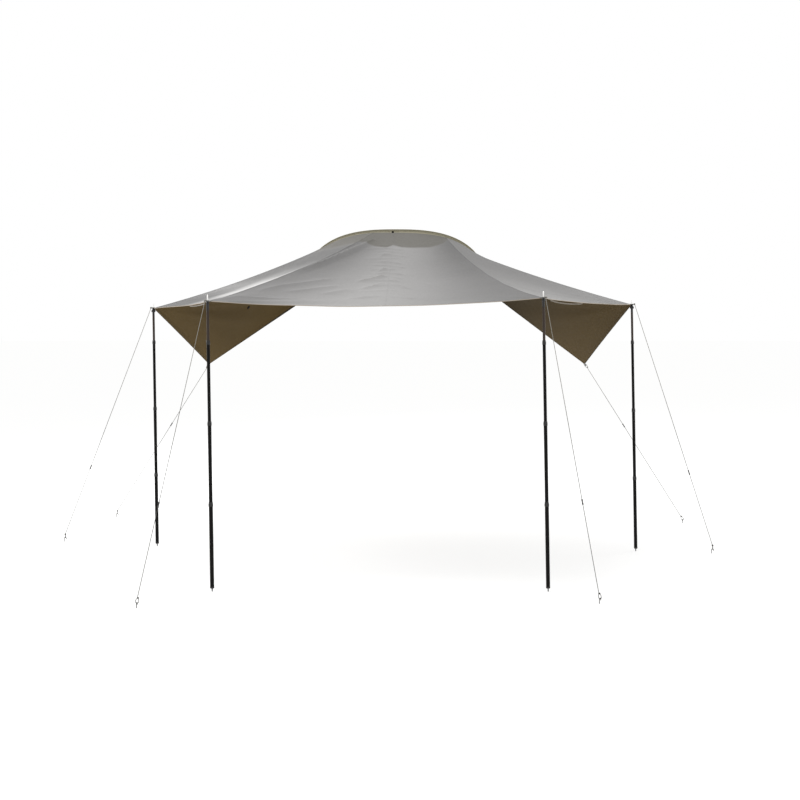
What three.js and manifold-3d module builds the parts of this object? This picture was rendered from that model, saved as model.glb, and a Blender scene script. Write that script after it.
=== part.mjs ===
// A vehicle side awning as it stands pitched: a ridged canopy that fastens to an arch at its
// rear, two rear wings, four telescopic poles with twist locks, and six guy lines with pegs.
// Millimetres, +Z up, +Y from the front poles towards the arch, +X to the right seen from the front.
import * as THREE from "three";
import { mergeVertices } from "three/addons/utils/BufferGeometryUtils.js";
import Module from "manifold-3d";

const wasm = await Module();
wasm.setup();

// Plan of the pitch
const awningDepth = 4232;
const frontSpacing = 2284;
const rearSpacing = 3930;
const tipSpacing = 3528;
const archWidth = 1828;
const frontShift = -20;
const archShift = -42;
const rearSetback = 1941;
const rightRearAdvance = 253;
const tipSetIn = 868;
const footDrift = 32;

// Heights of the pitch
const cornerHeight = 1973;
const rightCornerRise = 23;
const tipHeight = 1483;
const archBaseHeight = 2116;
const archRise = 684;
const archPower = 2.7;

// Canopy cloth
const clothThickness = 2.5;
const seamGap = 0.5;
const frontLeftRidgeSag = 50;
const frontRightRidgeSag = 95;
const rearLeftRidgeSag = 38;
const rearRightRidgeSag = 22;
const frontDip = 40;
const sideDip = 22;
const wingDip = 14;
const frontHemSag = 42;
const frontHemCut = 110;
const sideHemSag = 18;
const sideHemCut = 70;
const wingHemCut = 5;
const frontFold = 7;
const sideFold = 8;
const wingFold = 15;
const frontFoldCount = 4;
const sideFoldCount = 2;
const wingFoldCount = 5;
const ridgeShares = [0, 0.257, 0.455, 0.644, 0.799, 0.978];
const probeShare = 0.001;
const panelNames = [
  "left_wing",
  "left_canopy_panel",
  "front_canopy_panel",
  "right_canopy_panel",
  "right_wing",
];
const panelColumns = [10, 12, 22, 12, 10];
const panelRows = [12, 14, 16, 14, 12];

// Arch strip that the rear hem is sewn to
const stripDepth = 12;
const stripInnerReach = 5;
const stripOuterReach = 24;
const stripSteps = 28;

// Eyelets in the four corners and in the wing tips
const eyeletRadius = 18;
const eyeletHole = 6.5;
const eyeletThickness = 6;
const tipEyeletRadius = 14;
const tipEyeletHole = 7;
const tipEyeletThickness = 5;
const eyeletSides = 16;

// Telescopic poles, tube 0 at the foot and tube 3 at the top
const tubeRadii = [12.5, 11, 9.5, 8];
const tubeWall = 1.2;
const footSectionReach = 595;
const topSectionShow = 278;
const middleSections = 2;
const sectionStep = (cornerHeight - footSectionReach - topSectionShow) / middleSections;
const tubeOverlap = 60;
const topTubeLength = 600;
const footTipHeight = 22;
const footTipRadius = 4;
const footPlugHeight = 8;
const domeRadius = 11;
const spikeRadius = 4;
const spikeTipRadius = 2.2;
const spikeReach = 46;
const spikeTaper = 8;
const domeSteps = 3;
const poleSides = 12;

// Twist locks round each tube's upper end
const collarWall = 2.2;
const collarSkirt = 24;
const collarLip = 10;
const collarBevel = 2;

// Guy lines
const ropeRadius = 2;
const ropeSides = 8;
const tensionerRadius = 5.5;
const tensionerWaist = 4.3;
const tensionerLength = 38;
const tensionerRim = 7;
const poleTensionerShare = 0.7;
const wingTensionerShare = 0.39;

// Pegs, of bent round bar
const pegRadius = 2.5;
const pegBend = 9;
const pegLeg = 26;
const pegHookDrop = 10;
const pegBendSteps = 6;
const pegSides = 8;

// Toggle on the left wing's inner face, on the facet that starts at this row and column
const toggleLength = 24;
const toggleRadius = 4;
const toggleEndRadius = 3;
const toggleBevel = 2;
const toggleRow = 6;
const toggleColumn = 4;

// Clearances
const touchGap = 0.3;
const turnGap = 0.2;
const cutOverrun = 40;

// Where each peg stands from its eyelet, outwards and rearwards, as shares of the corner height,
// and how far its hook is turned, as a share of half a turn
const guyShares = {
  front_left: { out: 0.179, back: -0.272, turn: 0.5 },
  front_right: { out: 0.171, back: -0.202, turn: 0.3 },
  rear_left: { out: 0.408, back: 0.13, turn: 0.04 },
  rear_right: { out: 0.321, back: -0.051, turn: 0.02 },
  wing_left: { out: 0.4815, back: 0.1825, turn: 0.1 },
  wing_right: { out: 0.461, back: -0.026, turn: 0.36 },
};

// A guy line's eye, seen flat: towards the line and across it, from its tail to the line
const eyePoints = [[23, 4], [9, 9.5], [-5, 9.5], [-11, 4.5], [-11, -4.5], [-5, -9.5], [9, -9], [22, -2]];
const eyeReach = -Math.min(...eyePoints.map(([along]) => along));

const up = new THREE.Vector3(0, 0, 1);
const lerp = THREE.MathUtils.lerp;

// Rises from 0 to 1 and falls back to 0 as share goes from 0 to 1
function bow(share) {
  return 4 * share * (1 - share);
}

function vector(x, y, z) {
  return new THREE.Vector3(x, y, z);
}

function material(colour, roughness, metalness) {
  return new THREE.MeshStandardMaterial({ color: colour, roughness, metalness });
}

const finishes = {
  canopy: () => material(0xa3a3a1, 0.85, 0),
  wing: () => material(0x5a4c33, 0.85, 0),
  strip: () => material(0x4b4a47, 0.8, 0),
  eyelet: () => material(0x8f908f, 0.4, 1),
  tube: () => material(0x1b1a19, 0.45, 0.6),
  collar: () => material(0x141414, 0.6, 0),
  rope: () => material(0xd8d6cf, 0.8, 0),
  tensioner: () => material(0x2a2a2a, 0.5, 0),
  peg: () => material(0x8a8b8c, 0.4, 1),
};

function mesh(name, geometry, finish) {
  const made = new THREE.Mesh(geometry, finishes[finish]());
  made.name = name;
  return made;
}

// A profile of [radius, height] points turned round the Z axis
function turned(profile, sides) {
  const points = profile.map(([radius, height]) => new THREE.Vector2(radius, height));
  return new THREE.LatheGeometry(points, sides).rotateX(Math.PI / 2);
}

// The radius of a faceted bore that a faceted round of this radius turns freely in
function turningBore(radius, sides) {
  return (radius + turnGap) / Math.cos(Math.PI / sides);
}

function solidOf(geometry) {
  const bare = geometry.clone();
  bare.deleteAttribute("normal");
  bare.deleteAttribute("uv");
  const merged = mergeVertices(bare);
  const vertProperties = new Float32Array(merged.getAttribute("position").array);
  const triVerts = new Uint32Array(merged.getIndex().array);
  return new wasm.Manifold(new wasm.Mesh({ numProp: 3, vertProperties, triVerts }));
}

function geometryOf(solid) {
  const { vertProperties, triVerts } = solid.getMesh();
  const geometry = new THREE.BufferGeometry();
  geometry.setAttribute("position", new THREE.BufferAttribute(vertProperties, 3));
  geometry.setIndex(new THREE.BufferAttribute(triVerts, 1));
  geometry.computeVertexNormals();
  return geometry;
}

// A route whose steps fall on its own points, so a tube has one ring at each
class RouteCurve extends THREE.Curve {
  constructor(points) {
    super();
    this.points = points;
  }

  getPoint(share, target = new THREE.Vector3()) {
    const place = share * (this.points.length - 1);
    const index = Math.min(Math.floor(place), this.points.length - 2);
    return target.lerpVectors(this.points[index], this.points[index + 1], place - index);
  }

  getPointAt(share, target) {
    return this.getPoint(share, target);
  }

  getTangentAt(share, target = new THREE.Vector3()) {
    const index = Math.round(share * (this.points.length - 1));
    const here = this.points[index];
    const before = this.points[Math.max(index - 1, 0)];
    const after = this.points[Math.min(index + 1, this.points.length - 1)];
    const arriving = here.clone().sub(before).normalize();
    const leaving = after.clone().sub(here).normalize();
    return target.copy(arriving.add(leaving).normalize());
  }
}

function roundSection(radius, sides) {
  const section = new THREE.Shape();
  for (let side = 0; side < sides; side += 1) {
    const angle = (2 * Math.PI * side) / sides;
    const move = side === 0 ? "moveTo" : "lineTo";
    section[move](radius * Math.cos(angle), radius * Math.sin(angle));
  }
  section.closePath();
  return section;
}

function tubeAlong(points, radius, sides) {
  const extrudePath = new RouteCurve(points);
  return new THREE.ExtrudeGeometry(roundSection(radius, sides), { steps: points.length - 1, extrudePath });
}

// Corners of the cloth, from the left wing tip round the front to the right wing tip
const frontY = -awningDepth / 2;
const archY = awningDepth / 2;
const rightHeight = cornerHeight + rightCornerRise;
const corners = {
  wing_left: vector(-tipSpacing / 2, archY - tipSetIn, tipHeight),
  rear_left: vector(-rearSpacing / 2, frontY + rearSetback, cornerHeight),
  front_left: vector(frontShift - frontSpacing / 2, frontY, cornerHeight),
  front_right: vector(frontShift + frontSpacing / 2, frontY, rightHeight),
  rear_right: vector(rearSpacing / 2, frontY + rearSetback - rightRearAdvance, rightHeight),
  wing_right: vector(tipSpacing / 2, archY - tipSetIn, tipHeight),
};
const hemCorners = Object.values(corners);
const ridgeSags = [0, rearLeftRidgeSag, frontLeftRidgeSag, frontRightRidgeSag, rearRightRidgeSag, 0];
const panelDips = [wingDip, sideDip, frontDip, sideDip, wingDip];
const hemSags = [0, sideHemSag, frontHemSag, sideHemSag, 0];
const hemCuts = [wingHemCut, sideHemCut, frontHemCut, sideHemCut, wingHemCut];
const hemMiddle = vector(frontShift, 0, cornerHeight);

// The rear hem follows a superellipse, from share 0 at its left foot to share 1 at its right foot
function archPoint(share) {
  const angle = Math.PI * (1 - share);
  const side = Math.cos(angle);
  const reach = (Math.sign(side) * archWidth * Math.abs(side) ** (2 / archPower)) / 2;
  const rise = archRise * Math.abs(Math.sin(angle)) ** (2 / archPower);
  return vector(archShift + reach, archY, archBaseHeight + rise);
}

// The outer hem of a panel hangs between two corners and is cut in towards the middle
function hemPoint(panel, across) {
  const point = new THREE.Vector3().lerpVectors(hemCorners[panel], hemCorners[panel + 1], across);
  const run = new THREE.Vector3().subVectors(hemCorners[panel + 1], hemCorners[panel]);
  const inward = new THREE.Vector3().crossVectors(run, up).normalize();
  if (inward.dot(vector(0, 0, 0).subVectors(hemMiddle, point)) < 0) {
    inward.negate();
  }
  point.addScaledVector(inward, hemCuts[panel] * bow(across));
  point.z -= hemSags[panel] * bow(across);
  return point;
}

// Main folds: flutes that deepen towards the front hem, creases along the side panels, and a fan
// that spreads over each wing from its rear corner and dies out at the edges
function foldHeight(panel, across, down) {
  if (panel === 2) {
    return frontFold * bow(across) * down * Math.cos(2 * Math.PI * frontFoldCount * across);
  }
  if (panel === 1 || panel === 3) {
    return sideFold * bow(across) * bow(down) * Math.cos(2 * Math.PI * sideFoldCount * across);
  }
  const fromRidge = panel === 0 ? 1 - across : across;
  const fromCorner = 1 - down;
  const turn = Math.atan2(fromRidge, fromCorner) / (Math.PI / 2);
  return wingFold * Math.sin(Math.PI * wingFoldCount * turn) * bow(fromRidge) * bow(down);
}

// One point of a panel: across from its left ridge to its right one, and down from arch to hem
function clothPoint(panel, across, down) {
  const rear = archPoint(lerp(ridgeShares[panel], ridgeShares[panel + 1], across));
  const point = rear.lerp(hemPoint(panel, across), down);
  point.z -= lerp(ridgeSags[panel], ridgeSags[panel + 1], across) * bow(down);
  point.z -= panelDips[panel] * bow(across) * bow(down);
  point.z += foldHeight(panel, across, down);
  return point;
}

function clothNormal(panel, across, down) {
  const a = Math.min(across, 1 - probeShare);
  const d = Math.min(down, 1 - probeShare);
  const here = clothPoint(panel, a, d);
  const sideways = clothPoint(panel, a + probeShare, d).sub(here);
  const downwards = clothPoint(panel, a, d + probeShare).sub(here);
  return downwards.cross(sideways).normalize();
}

// Both panels at a ridge take the same direction of thickness, so that their edges match
function thicknessDirection(panel, across, down) {
  const direction = clothNormal(panel, across, down);
  if (across === 0 && panel > 0) {
    direction.add(clothNormal(panel - 1, 1, down));
  }
  if (across === 1 && panel < panelNames.length - 1) {
    direction.add(clothNormal(panel + 1, 0, down));
  }
  if (down === 0) {
    direction.y = 0;
  }
  return direction.normalize();
}

// A panel's edge at a ridge is drawn back by half the seam gap
function seamStep(panel, across, down) {
  const atLeftRidge = across === 0 && panel > 0;
  const atRightRidge = across === 1 && panel < panelNames.length - 1;
  if (!atLeftRidge && !atRightRidge) {
    return vector(0, 0, 0);
  }
  const inside = clothPoint(panel, atLeftRidge ? probeShare : 1 - probeShare, down);
  const step = inside.sub(clothPoint(panel, across, down));
  return step.normalize().multiplyScalar(seamGap / 2);
}

// A point of a panel's outer face, where side is 1, or of its inner face, where side is -1
function facePoint(panel, across, down, side) {
  const centre = clothPoint(panel, across, down).add(seamStep(panel, across, down));
  return centre.addScaledVector(thicknessDirection(panel, across, down), (side * clothThickness) / 2);
}

// A sheet of one thickness, closed round its edges
function panelSheet(panel) {
  const columns = panelColumns[panel];
  const rows = panelRows[panel];
  const faces = [[], []];
  for (let row = 0; row <= rows; row += 1) {
    for (let column = 0; column <= columns; column += 1) {
      faces[0].push(...facePoint(panel, column / columns, row / rows, 1).toArray());
      faces[1].push(...facePoint(panel, column / columns, row / rows, -1).toArray());
    }
  }
  const count = (rows + 1) * (columns + 1);
  const upper = (row, column) => row * (columns + 1) + column;
  const lower = (row, column) => count + upper(row, column);
  const index = [];
  const quad = (a, b, c, d) => index.push(a, b, c, a, c, d);
  for (let row = 0; row < rows; row += 1) {
    const next = row + 1;
    for (let column = 0; column < columns; column += 1) {
      quad(upper(row, column), upper(next, column), upper(next, column + 1), upper(row, column + 1));
      quad(lower(row, column), lower(row, column + 1), lower(next, column + 1), lower(next, column));
    }
    quad(upper(row, 0), lower(row, 0), lower(row + 1, 0), upper(row + 1, 0));
    quad(upper(row, columns), upper(row + 1, columns), lower(row + 1, columns), lower(row, columns));
  }
  for (let column = 0; column < columns; column += 1) {
    quad(upper(0, column), upper(0, column + 1), lower(0, column + 1), lower(0, column));
    quad(upper(rows, column), lower(rows, column), lower(rows, column + 1), upper(rows, column + 1));
  }
  const geometry = new THREE.BufferGeometry();
  geometry.setAttribute("position", new THREE.Float32BufferAttribute([...faces[0], ...faces[1]], 3));
  geometry.setIndex(index);
  return geometry;
}

// How each wing tip lies: its face's normal, and the way out of the cloth towards the peg
function tipFrame(name) {
  const panel = name === "wing_left" ? 0 : panelNames.length - 1;
  const normal = clothNormal(panel, panel === 0 ? 0 : 1, 1);
  const outward = pegSpot(name).sub(corners[name]);
  outward.addScaledVector(normal, -outward.dot(normal)).normalize();
  return { normal, outward };
}

function eyeletAxis(name) {
  return name.startsWith("wing") ? tipFrame(name).normal : up.clone();
}

// The room that is cut from the cloth for an eyelet
function eyeletRoom(name) {
  const radius = (name.startsWith("wing") ? tipEyeletRadius : eyeletRadius) + touchGap;
  const room = new THREE.CylinderGeometry(radius, radius, 2 * cutOverrun, eyeletSides);
  room.rotateX(Math.PI / 2);
  room.applyQuaternion(new THREE.Quaternion().setFromUnitVectors(up, eyeletAxis(name)));
  return room.translate(...corners[name].toArray());
}

function clothPanel(panel) {
  const ends = [panel, panel + 1].map((corner) => Object.keys(corners)[corner]);
  const rooms = ends.map((name) => solidOf(eyeletRoom(name)));
  const cut = rooms.reduce((solid, room) => solid.subtract(room), solidOf(panelSheet(panel)));
  const finish = panelNames[panel].endsWith("wing") ? "wing" : "canopy";
  return mesh(panelNames[panel], geometryOf(cut), finish);
}

// The strip behind the rear hem, one flat band that stands out from the arch all along it
function archStrip() {
  const outline = [];
  const along = (share) => {
    const before = archPoint(Math.max(share - probeShare, 0));
    return archPoint(Math.min(share + probeShare, 1)).sub(before).normalize();
  };
  for (const side of [1, -1]) {
    for (let step = 0; step <= stripSteps; step += 1) {
      const share = side > 0 ? step / stripSteps : 1 - step / stripSteps;
      const heading = along(share);
      const point = archPoint(share);
      const reach = side > 0 ? stripOuterReach : -stripInnerReach;
      outline.push(new THREE.Vector2(point.x - heading.z * reach, point.z + heading.x * reach));
    }
  }
  const band = new THREE.Shape(outline);
  const geometry = new THREE.ExtrudeGeometry(band, { depth: stripDepth, bevelEnabled: false });
  geometry.rotateX(Math.PI / 2);
  return mesh("arch_strip", geometry.translate(0, archY + touchGap + stripDepth, 0), "strip");
}

// The toggle that ties the left wing when it is rolled up lies along a facet of its inner face
function wingToggle() {
  const facet = [[0, 0], [0, 1], [1, 0]].map(([column, row]) => (
    facePoint(0, (toggleColumn + column) / panelColumns[0], (toggleRow + row) / panelRows[0], -1)
  ));
  const along = facet[1].clone().sub(facet[0]).normalize();
  const inward = facet[2].clone().sub(facet[0]).cross(along).normalize();
  const half = toggleLength / 2;
  const made = mesh("left_wing_toggle", turned([
    [0, -half],
    [toggleEndRadius, -half],
    [toggleRadius, -half + toggleBevel],
    [toggleRadius, half - toggleBevel],
    [toggleEndRadius, half],
    [0, half],
  ], poleSides), "tensioner");
  made.quaternion.setFromUnitVectors(up, along);
  made.position.copy(facet[0]).add(facet[1]).add(facet[2]).divideScalar(facet.length);
  made.position.addScaledVector(inward, toggleRadius + touchGap);
  return made;
}

function ringProfile(hole, radius, thickness) {
  const half = thickness / 2;
  return [[hole, -half], [radius, -half], [radius, half], [hole, half], [hole, -half]];
}

function eyelet(name) {
  const small = name.startsWith("wing");
  const profile = small
    ? ringProfile(tipEyeletHole, tipEyeletRadius, tipEyeletThickness)
    : ringProfile(eyeletHole, eyeletRadius, eyeletThickness);
  const made = mesh(`${name}_eyelet`, turned(profile, eyeletSides), "eyelet");
  made.quaternion.setFromUnitVectors(up, eyeletAxis(name));
  made.position.copy(corners[name]);
  return made;
}

// The pole's domed top seats in the rim of the eyelet's hole
const domeSeat = Math.sqrt((domeRadius + touchGap) ** 2 - eyeletHole ** 2);
const poleHeads = Object.fromEntries(
  Object.entries(corners).map(([name, corner]) => [
    name,
    corner.clone().addScaledVector(up, -eyeletThickness / 2 - domeSeat),
  ]),
);

// Heights up the pole from its foot to the upper end of each of the three lower tubes
const tubeTops = [0, 1, 2].map((tube) => footSectionReach + tube * sectionStep);

function footTube(drop) {
  const radius = tubeRadii[0];
  const inner = radius - tubeWall;
  return turned([
    [0, -drop],
    [footTipRadius / 2, -drop],
    [footTipRadius, footTipHeight - drop],
    [radius, footTipHeight - drop],
    [radius, tubeTops[0] - drop],
    [inner, tubeTops[0] - drop],
    [inner, footTipHeight + footPlugHeight - drop],
    [0, footTipHeight + footPlugHeight - drop],
  ], poleSides);
}

function middleTube(tube, drop) {
  const radius = tubeRadii[tube];
  const inner = radius - tubeWall;
  const bottom = tubeTops[tube - 1] - tubeOverlap - drop;
  const top = tubeTops[tube] - drop;
  return turned([[inner, bottom], [radius, bottom], [radius, top], [inner, top], [inner, bottom]], poleSides);
}

// The top tube with its domed cap, whose centre is the origin, and the spike that holds the eyelet
function topTube() {
  const radius = tubeRadii[3];
  const inner = radius - tubeWall;
  const shoulder = Math.asin(spikeRadius / domeRadius);
  const dome = [];
  for (let step = 0; step <= domeSteps; step += 1) {
    const angle = lerp(Math.PI / 2, shoulder, step / domeSteps);
    dome.push([domeRadius * Math.sin(angle), domeRadius * Math.cos(angle)]);
  }
  const spikeTop = domeSeat + eyeletThickness / 2 + spikeReach;
  return turned([
    [inner, -topTubeLength],
    [radius, -topTubeLength],
    [radius, -domeRadius],
    [domeRadius, -domeRadius],
    ...dome,
    [spikeRadius, spikeTop - spikeTaper],
    [spikeTipRadius, spikeTop],
    [0, spikeTop],
    [0, -domeRadius - tubeWall],
    [inner, -domeRadius - tubeWall],
    [inner, -topTubeLength],
  ], poleSides);
}

function collar(tube, drop) {
  const bore = turningBore(tubeRadii[tube], poleSides);
  const lipBore = turningBore(tubeRadii[tube + 1], poleSides);
  const outer = bore + collarWall;
  const end = tubeTops[tube] - drop;
  return turned([
    [bore, end - collarSkirt],
    [outer - collarBevel / 2, end - collarSkirt],
    [outer, end - collarSkirt + collarBevel],
    [outer, end],
    [outer - collarBevel, end + collarLip],
    [lipBore, end + collarLip],
    [lipBore, end + touchGap],
    [bore, end + touchGap],
    [bore, end - collarSkirt],
  ], poleSides);
}

// A pole's pieces share a frame: the origin at the dome's centre, and -Z down to the foot
function pole(name) {
  const head = poleHeads[name];
  const foot = vector(head.x + footDrift, head.y, 0);
  const drop = head.distanceTo(foot);
  const pieces = new THREE.Group();
  pieces.add(mesh(`${name}_pole_top_tube`, topTube(), "tube"));
  pieces.add(mesh(`${name}_pole_upper_tube`, middleTube(2, drop), "tube"));
  pieces.add(mesh(`${name}_pole_lower_tube`, middleTube(1, drop), "tube"));
  pieces.add(mesh(`${name}_pole_foot_tube`, footTube(drop), "tube"));
  ["foot", "lower", "upper"].forEach((tube, index) => {
    pieces.add(mesh(`${name}_pole_${tube}_lock`, collar(index, drop), "collar"));
  });
  pieces.position.copy(head);
  pieces.quaternion.setFromUnitVectors(up, head.clone().sub(foot).normalize());
  return pieces;
}

function pegSpot(name) {
  const { out, back } = guyShares[name];
  const side = Math.sign(corners[name].x);
  return vector(corners[name].x + side * out * cornerHeight, corners[name].y + back * cornerHeight, 0);
}

function pegHeading(name) {
  const turn = Math.PI * guyShares[name].turn;
  return vector(Math.cos(turn), Math.sin(turn), 0);
}

// The middle of the bar at the top of the peg's bend
function pegCrown(name) {
  return pegSpot(name).addScaledVector(up, pegLeg + pegBend);
}

// A peg stands on one leg and bends over into a short hook
function peg(name) {
  const heading = pegHeading(name);
  const spot = pegSpot(name);
  const at = (sideways, height) => (
    spot.clone().addScaledVector(heading, sideways).addScaledVector(up, height)
  );
  const points = [at(-pegBend, 0)];
  for (let step = 0; step <= pegBendSteps; step += 1) {
    const angle = Math.PI * (1 - step / pegBendSteps);
    points.push(at(pegBend * Math.cos(angle), pegLeg + pegBend * Math.sin(angle)));
  }
  points.push(at(pegBend, pegLeg - pegHookDrop));
  return mesh(`${name}_peg`, tubeAlong(points, pegRadius, pegSides), "peg");
}

// The points of an eye laid out in a plane, from its tail to where the line leaves it
function eyeAt(origin, towards, across) {
  return eyePoints.map(([along, side]) => (
    origin.clone().addScaledVector(towards, along).addScaledVector(across, side)
  ));
}

// The upper eye lies on a corner eyelet round the spike, or goes through a wing tip's eyelet
function upperEye(name) {
  if (name.startsWith("wing")) {
    const { normal, outward } = tipFrame(name);
    const rim = tipEyeletHole * Math.cos(Math.PI / eyeletSides);
    const origin = corners[name].clone().addScaledVector(outward, rim + eyeReach - ropeRadius - touchGap);
    return eyeAt(origin, outward, normal);
  }
  const towards = pegSpot(name).sub(corners[name]).setZ(0).normalize();
  const across = new THREE.Vector3().crossVectors(up, towards);
  const origin = corners[name].clone().addScaledVector(up, eyeletThickness / 2 + touchGap + ropeRadius);
  return eyeAt(origin, towards, across);
}

// The lower eye hangs through the peg's hook, in a plane square to the bar at its crown
function lowerEye(name, lineTop) {
  const crown = pegCrown(name);
  const heading = pegHeading(name);
  const towards = lineTop.clone().sub(crown);
  towards.addScaledVector(heading, -towards.dot(heading)).normalize();
  const across = new THREE.Vector3().crossVectors(heading, towards);
  const origin = crown.clone().addScaledVector(towards, eyeReach - ropeRadius - touchGap - pegRadius);
  return eyeAt(origin, towards, across);
}

// Where a line leaves its upper eye and where it reaches its lower one
function guyEnds(name) {
  const top = upperEye(name).at(-1);
  return { top, bottom: lowerEye(name, top).at(-1) };
}

function guyLine(name) {
  const upper = upperEye(name);
  const route = [...upper, ...lowerEye(name, upper.at(-1)).reverse()];
  return mesh(`${name}_guy_line`, tubeAlong(route, ropeRadius, ropeSides), "rope");
}

// A runner with a waist, threaded on the line
function tensioner(name) {
  const { top, bottom } = guyEnds(name);
  const share = name.startsWith("wing") ? wingTensionerShare : poleTensionerShare;
  const bore = (ropeRadius + touchGap) / Math.cos(Math.PI / ropeSides);
  const half = tensionerLength / 2;
  const made = mesh(`${name}_guy_runner`, turned([
    [bore, -half],
    [tensionerRadius, -half],
    [tensionerRadius, -half + tensionerRim],
    [tensionerWaist, -half + 2 * tensionerRim],
    [tensionerWaist, half - 2 * tensionerRim],
    [tensionerRadius, half - tensionerRim],
    [tensionerRadius, half],
    [bore, half],
    [bore, -half],
  ], ropeSides), "tensioner");
  made.position.lerpVectors(top, bottom, share);
  made.quaternion.setFromUnitVectors(up, top.clone().sub(bottom).normalize());
  return made;
}

// The canopy with its eyelets and the poles stand about the origin; the guy lines reach past them
const cornerNames = Object.keys(corners);
const poleNames = cornerNames.filter((name) => !name.startsWith("wing"));
const standing = new THREE.Group();
panelNames.forEach((name, panel) => standing.add(clothPanel(panel)));
standing.add(archStrip(), wingToggle());
cornerNames.forEach((name) => standing.add(eyelet(name)));
poleNames.forEach((name) => standing.add(pole(name)));

const guys = new THREE.Group();
cornerNames.forEach((name) => guys.add(guyLine(name), tensioner(name), peg(name)));

// The origin lies on the ground below the middle of the box of all that stands
const awning = new THREE.Group();
awning.add(standing, guys);
awning.updateMatrixWorld(true);
const standingBox = new THREE.Box3().setFromObject(standing, true);
const middle = standingBox.getCenter(new THREE.Vector3());
awning.position.set(-middle.x, -middle.y, -standingBox.min.z);

export default awning;
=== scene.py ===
"""A vehicle side awning, pitched: ridged canopy, rear wings, telescopic poles and guy lines.

Cloth, bands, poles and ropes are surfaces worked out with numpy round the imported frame, in metres.
"""

import math

import bpy
import numpy as np
from bpy.props import FloatProperty, FloatVectorProperty, IntProperty, PointerProperty
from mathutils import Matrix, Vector


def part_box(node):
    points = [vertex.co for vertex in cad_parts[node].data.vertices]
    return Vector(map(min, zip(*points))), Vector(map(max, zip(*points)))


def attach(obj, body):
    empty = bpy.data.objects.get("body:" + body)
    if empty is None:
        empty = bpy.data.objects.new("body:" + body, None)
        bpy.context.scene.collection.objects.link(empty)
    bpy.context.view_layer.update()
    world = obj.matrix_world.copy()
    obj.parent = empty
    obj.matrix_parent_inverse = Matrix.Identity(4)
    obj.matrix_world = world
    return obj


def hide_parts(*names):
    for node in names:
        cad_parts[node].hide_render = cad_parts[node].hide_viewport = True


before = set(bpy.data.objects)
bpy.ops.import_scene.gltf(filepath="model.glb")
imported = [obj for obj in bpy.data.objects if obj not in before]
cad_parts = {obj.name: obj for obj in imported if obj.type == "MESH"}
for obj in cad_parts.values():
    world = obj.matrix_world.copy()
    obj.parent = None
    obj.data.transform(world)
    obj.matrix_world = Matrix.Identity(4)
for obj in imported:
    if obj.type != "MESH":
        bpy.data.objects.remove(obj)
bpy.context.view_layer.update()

bl_info = {
    "name": "Vehicle side awning",
    "version": (1, 0, 0),
    "blender": (4, 5, 0),
    "location": "3D View > Sidebar > Awning",
    "description": "Builds the cloth, poles, ropes and finishes of a vehicle side awning",
    "category": "Object",
}

UP, BACK = np.array([0.0, 0.0, 1.0]), np.array([0.0, 1.0, 0.0])
MERGE_DIGITS = 6

# The pitch, as the solids have it, but for side hems and long folds, which are flatter here
CORNERS = ("wing_left", "rear_left", "front_left", "front_right", "rear_right", "wing_right")
POLES = CORNERS[1:5]
ARCH_POWER = 2.7
STRIP_REACH, STRIP_INNER, STRIP_DEPTH = 0.024, 0.005, 0.012
TOUCH_GAP = 0.0003
# Ridges: places as shares of the arch, and sags; then dips of panels, sags and cuts of hems
RIDGE_SHARES = (0, 0.257, 0.455, 0.644, 0.799, 0.978)
RIDGE_SAGS = (0, 0.038, 0.050, 0.095, 0.022, 0)
PANEL_DIPS = (0.014, 0.022, 0.040, 0.022, 0.014)
HEM_SAGS = (0, 0.002, 0.042, 0.006, 0)
HEM_CUTS = (0.005, 0.070, 0.110, 0.070, 0.005)
# Long folds: heights and numbers
FRONT_FOLD, SIDE_FOLD, WING_FOLD = 0.001, 0.002, 0.015
FRONT_FOLDS, SIDE_FOLDS, WING_FOLDS = 4, 2, 5
LEFT_WING, LEFT_PANEL, FRONT_PANEL, RIGHT_PANEL, RIGHT_WING = range(5)
# Each peg's place from its corner, out and back, and where its hook points, in half turns
GUY_SHARES = {
    "front_left": (0.179, -0.272, 0.5),
    "front_right": (0.171, -0.202, 0.3),
    "rear_left": (0.408, 0.13, 0.04),
    "rear_right": (0.321, -0.051, 0.02),
    "wing_left": (0.4815, 0.1825, 0.1),
    "wing_right": (0.461, -0.026, 0.36),
}
CORNER_HEIGHT = 1.973


def tone(code):
    """The linear colour of a six-digit screen colour, by the sRGB curve."""
    values = [int(code[start:start + 2], 16) / 255 for start in (0, 2, 4)]
    return tuple(v / 12.92 if v <= 0.04045 else ((v + 0.055) / 1.055) ** 2.4 for v in values)


# Sizes and colours that a user would change


def real_number(name, description, default, **limits):
    """A number with its slider limits and unit."""
    return FloatProperty(name=name, description=description, default=default, **limits)


def whole_number(name, description, default, low, high):
    """A whole number with its slider limits."""
    return IntProperty(name=name, description=description, default=default, min=low, max=high)


def length(name, description, default):
    """A length in metres, up to 0.2."""
    return real_number(name, description, default, min=0, max=0.2, precision=4, unit="LENGTH",
                       subtype="DISTANCE")


def portion(name, description, default):
    """A share from 0 to 1."""
    return real_number(name, description, default, min=0, max=1, subtype="FACTOR")


def colour(name, description, code):
    """A colour whose default is a six-digit screen colour."""
    return FloatVectorProperty(name=name, description=description, default=tone(code), min=0, max=1,
                               size=3, subtype="COLOR")


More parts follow.
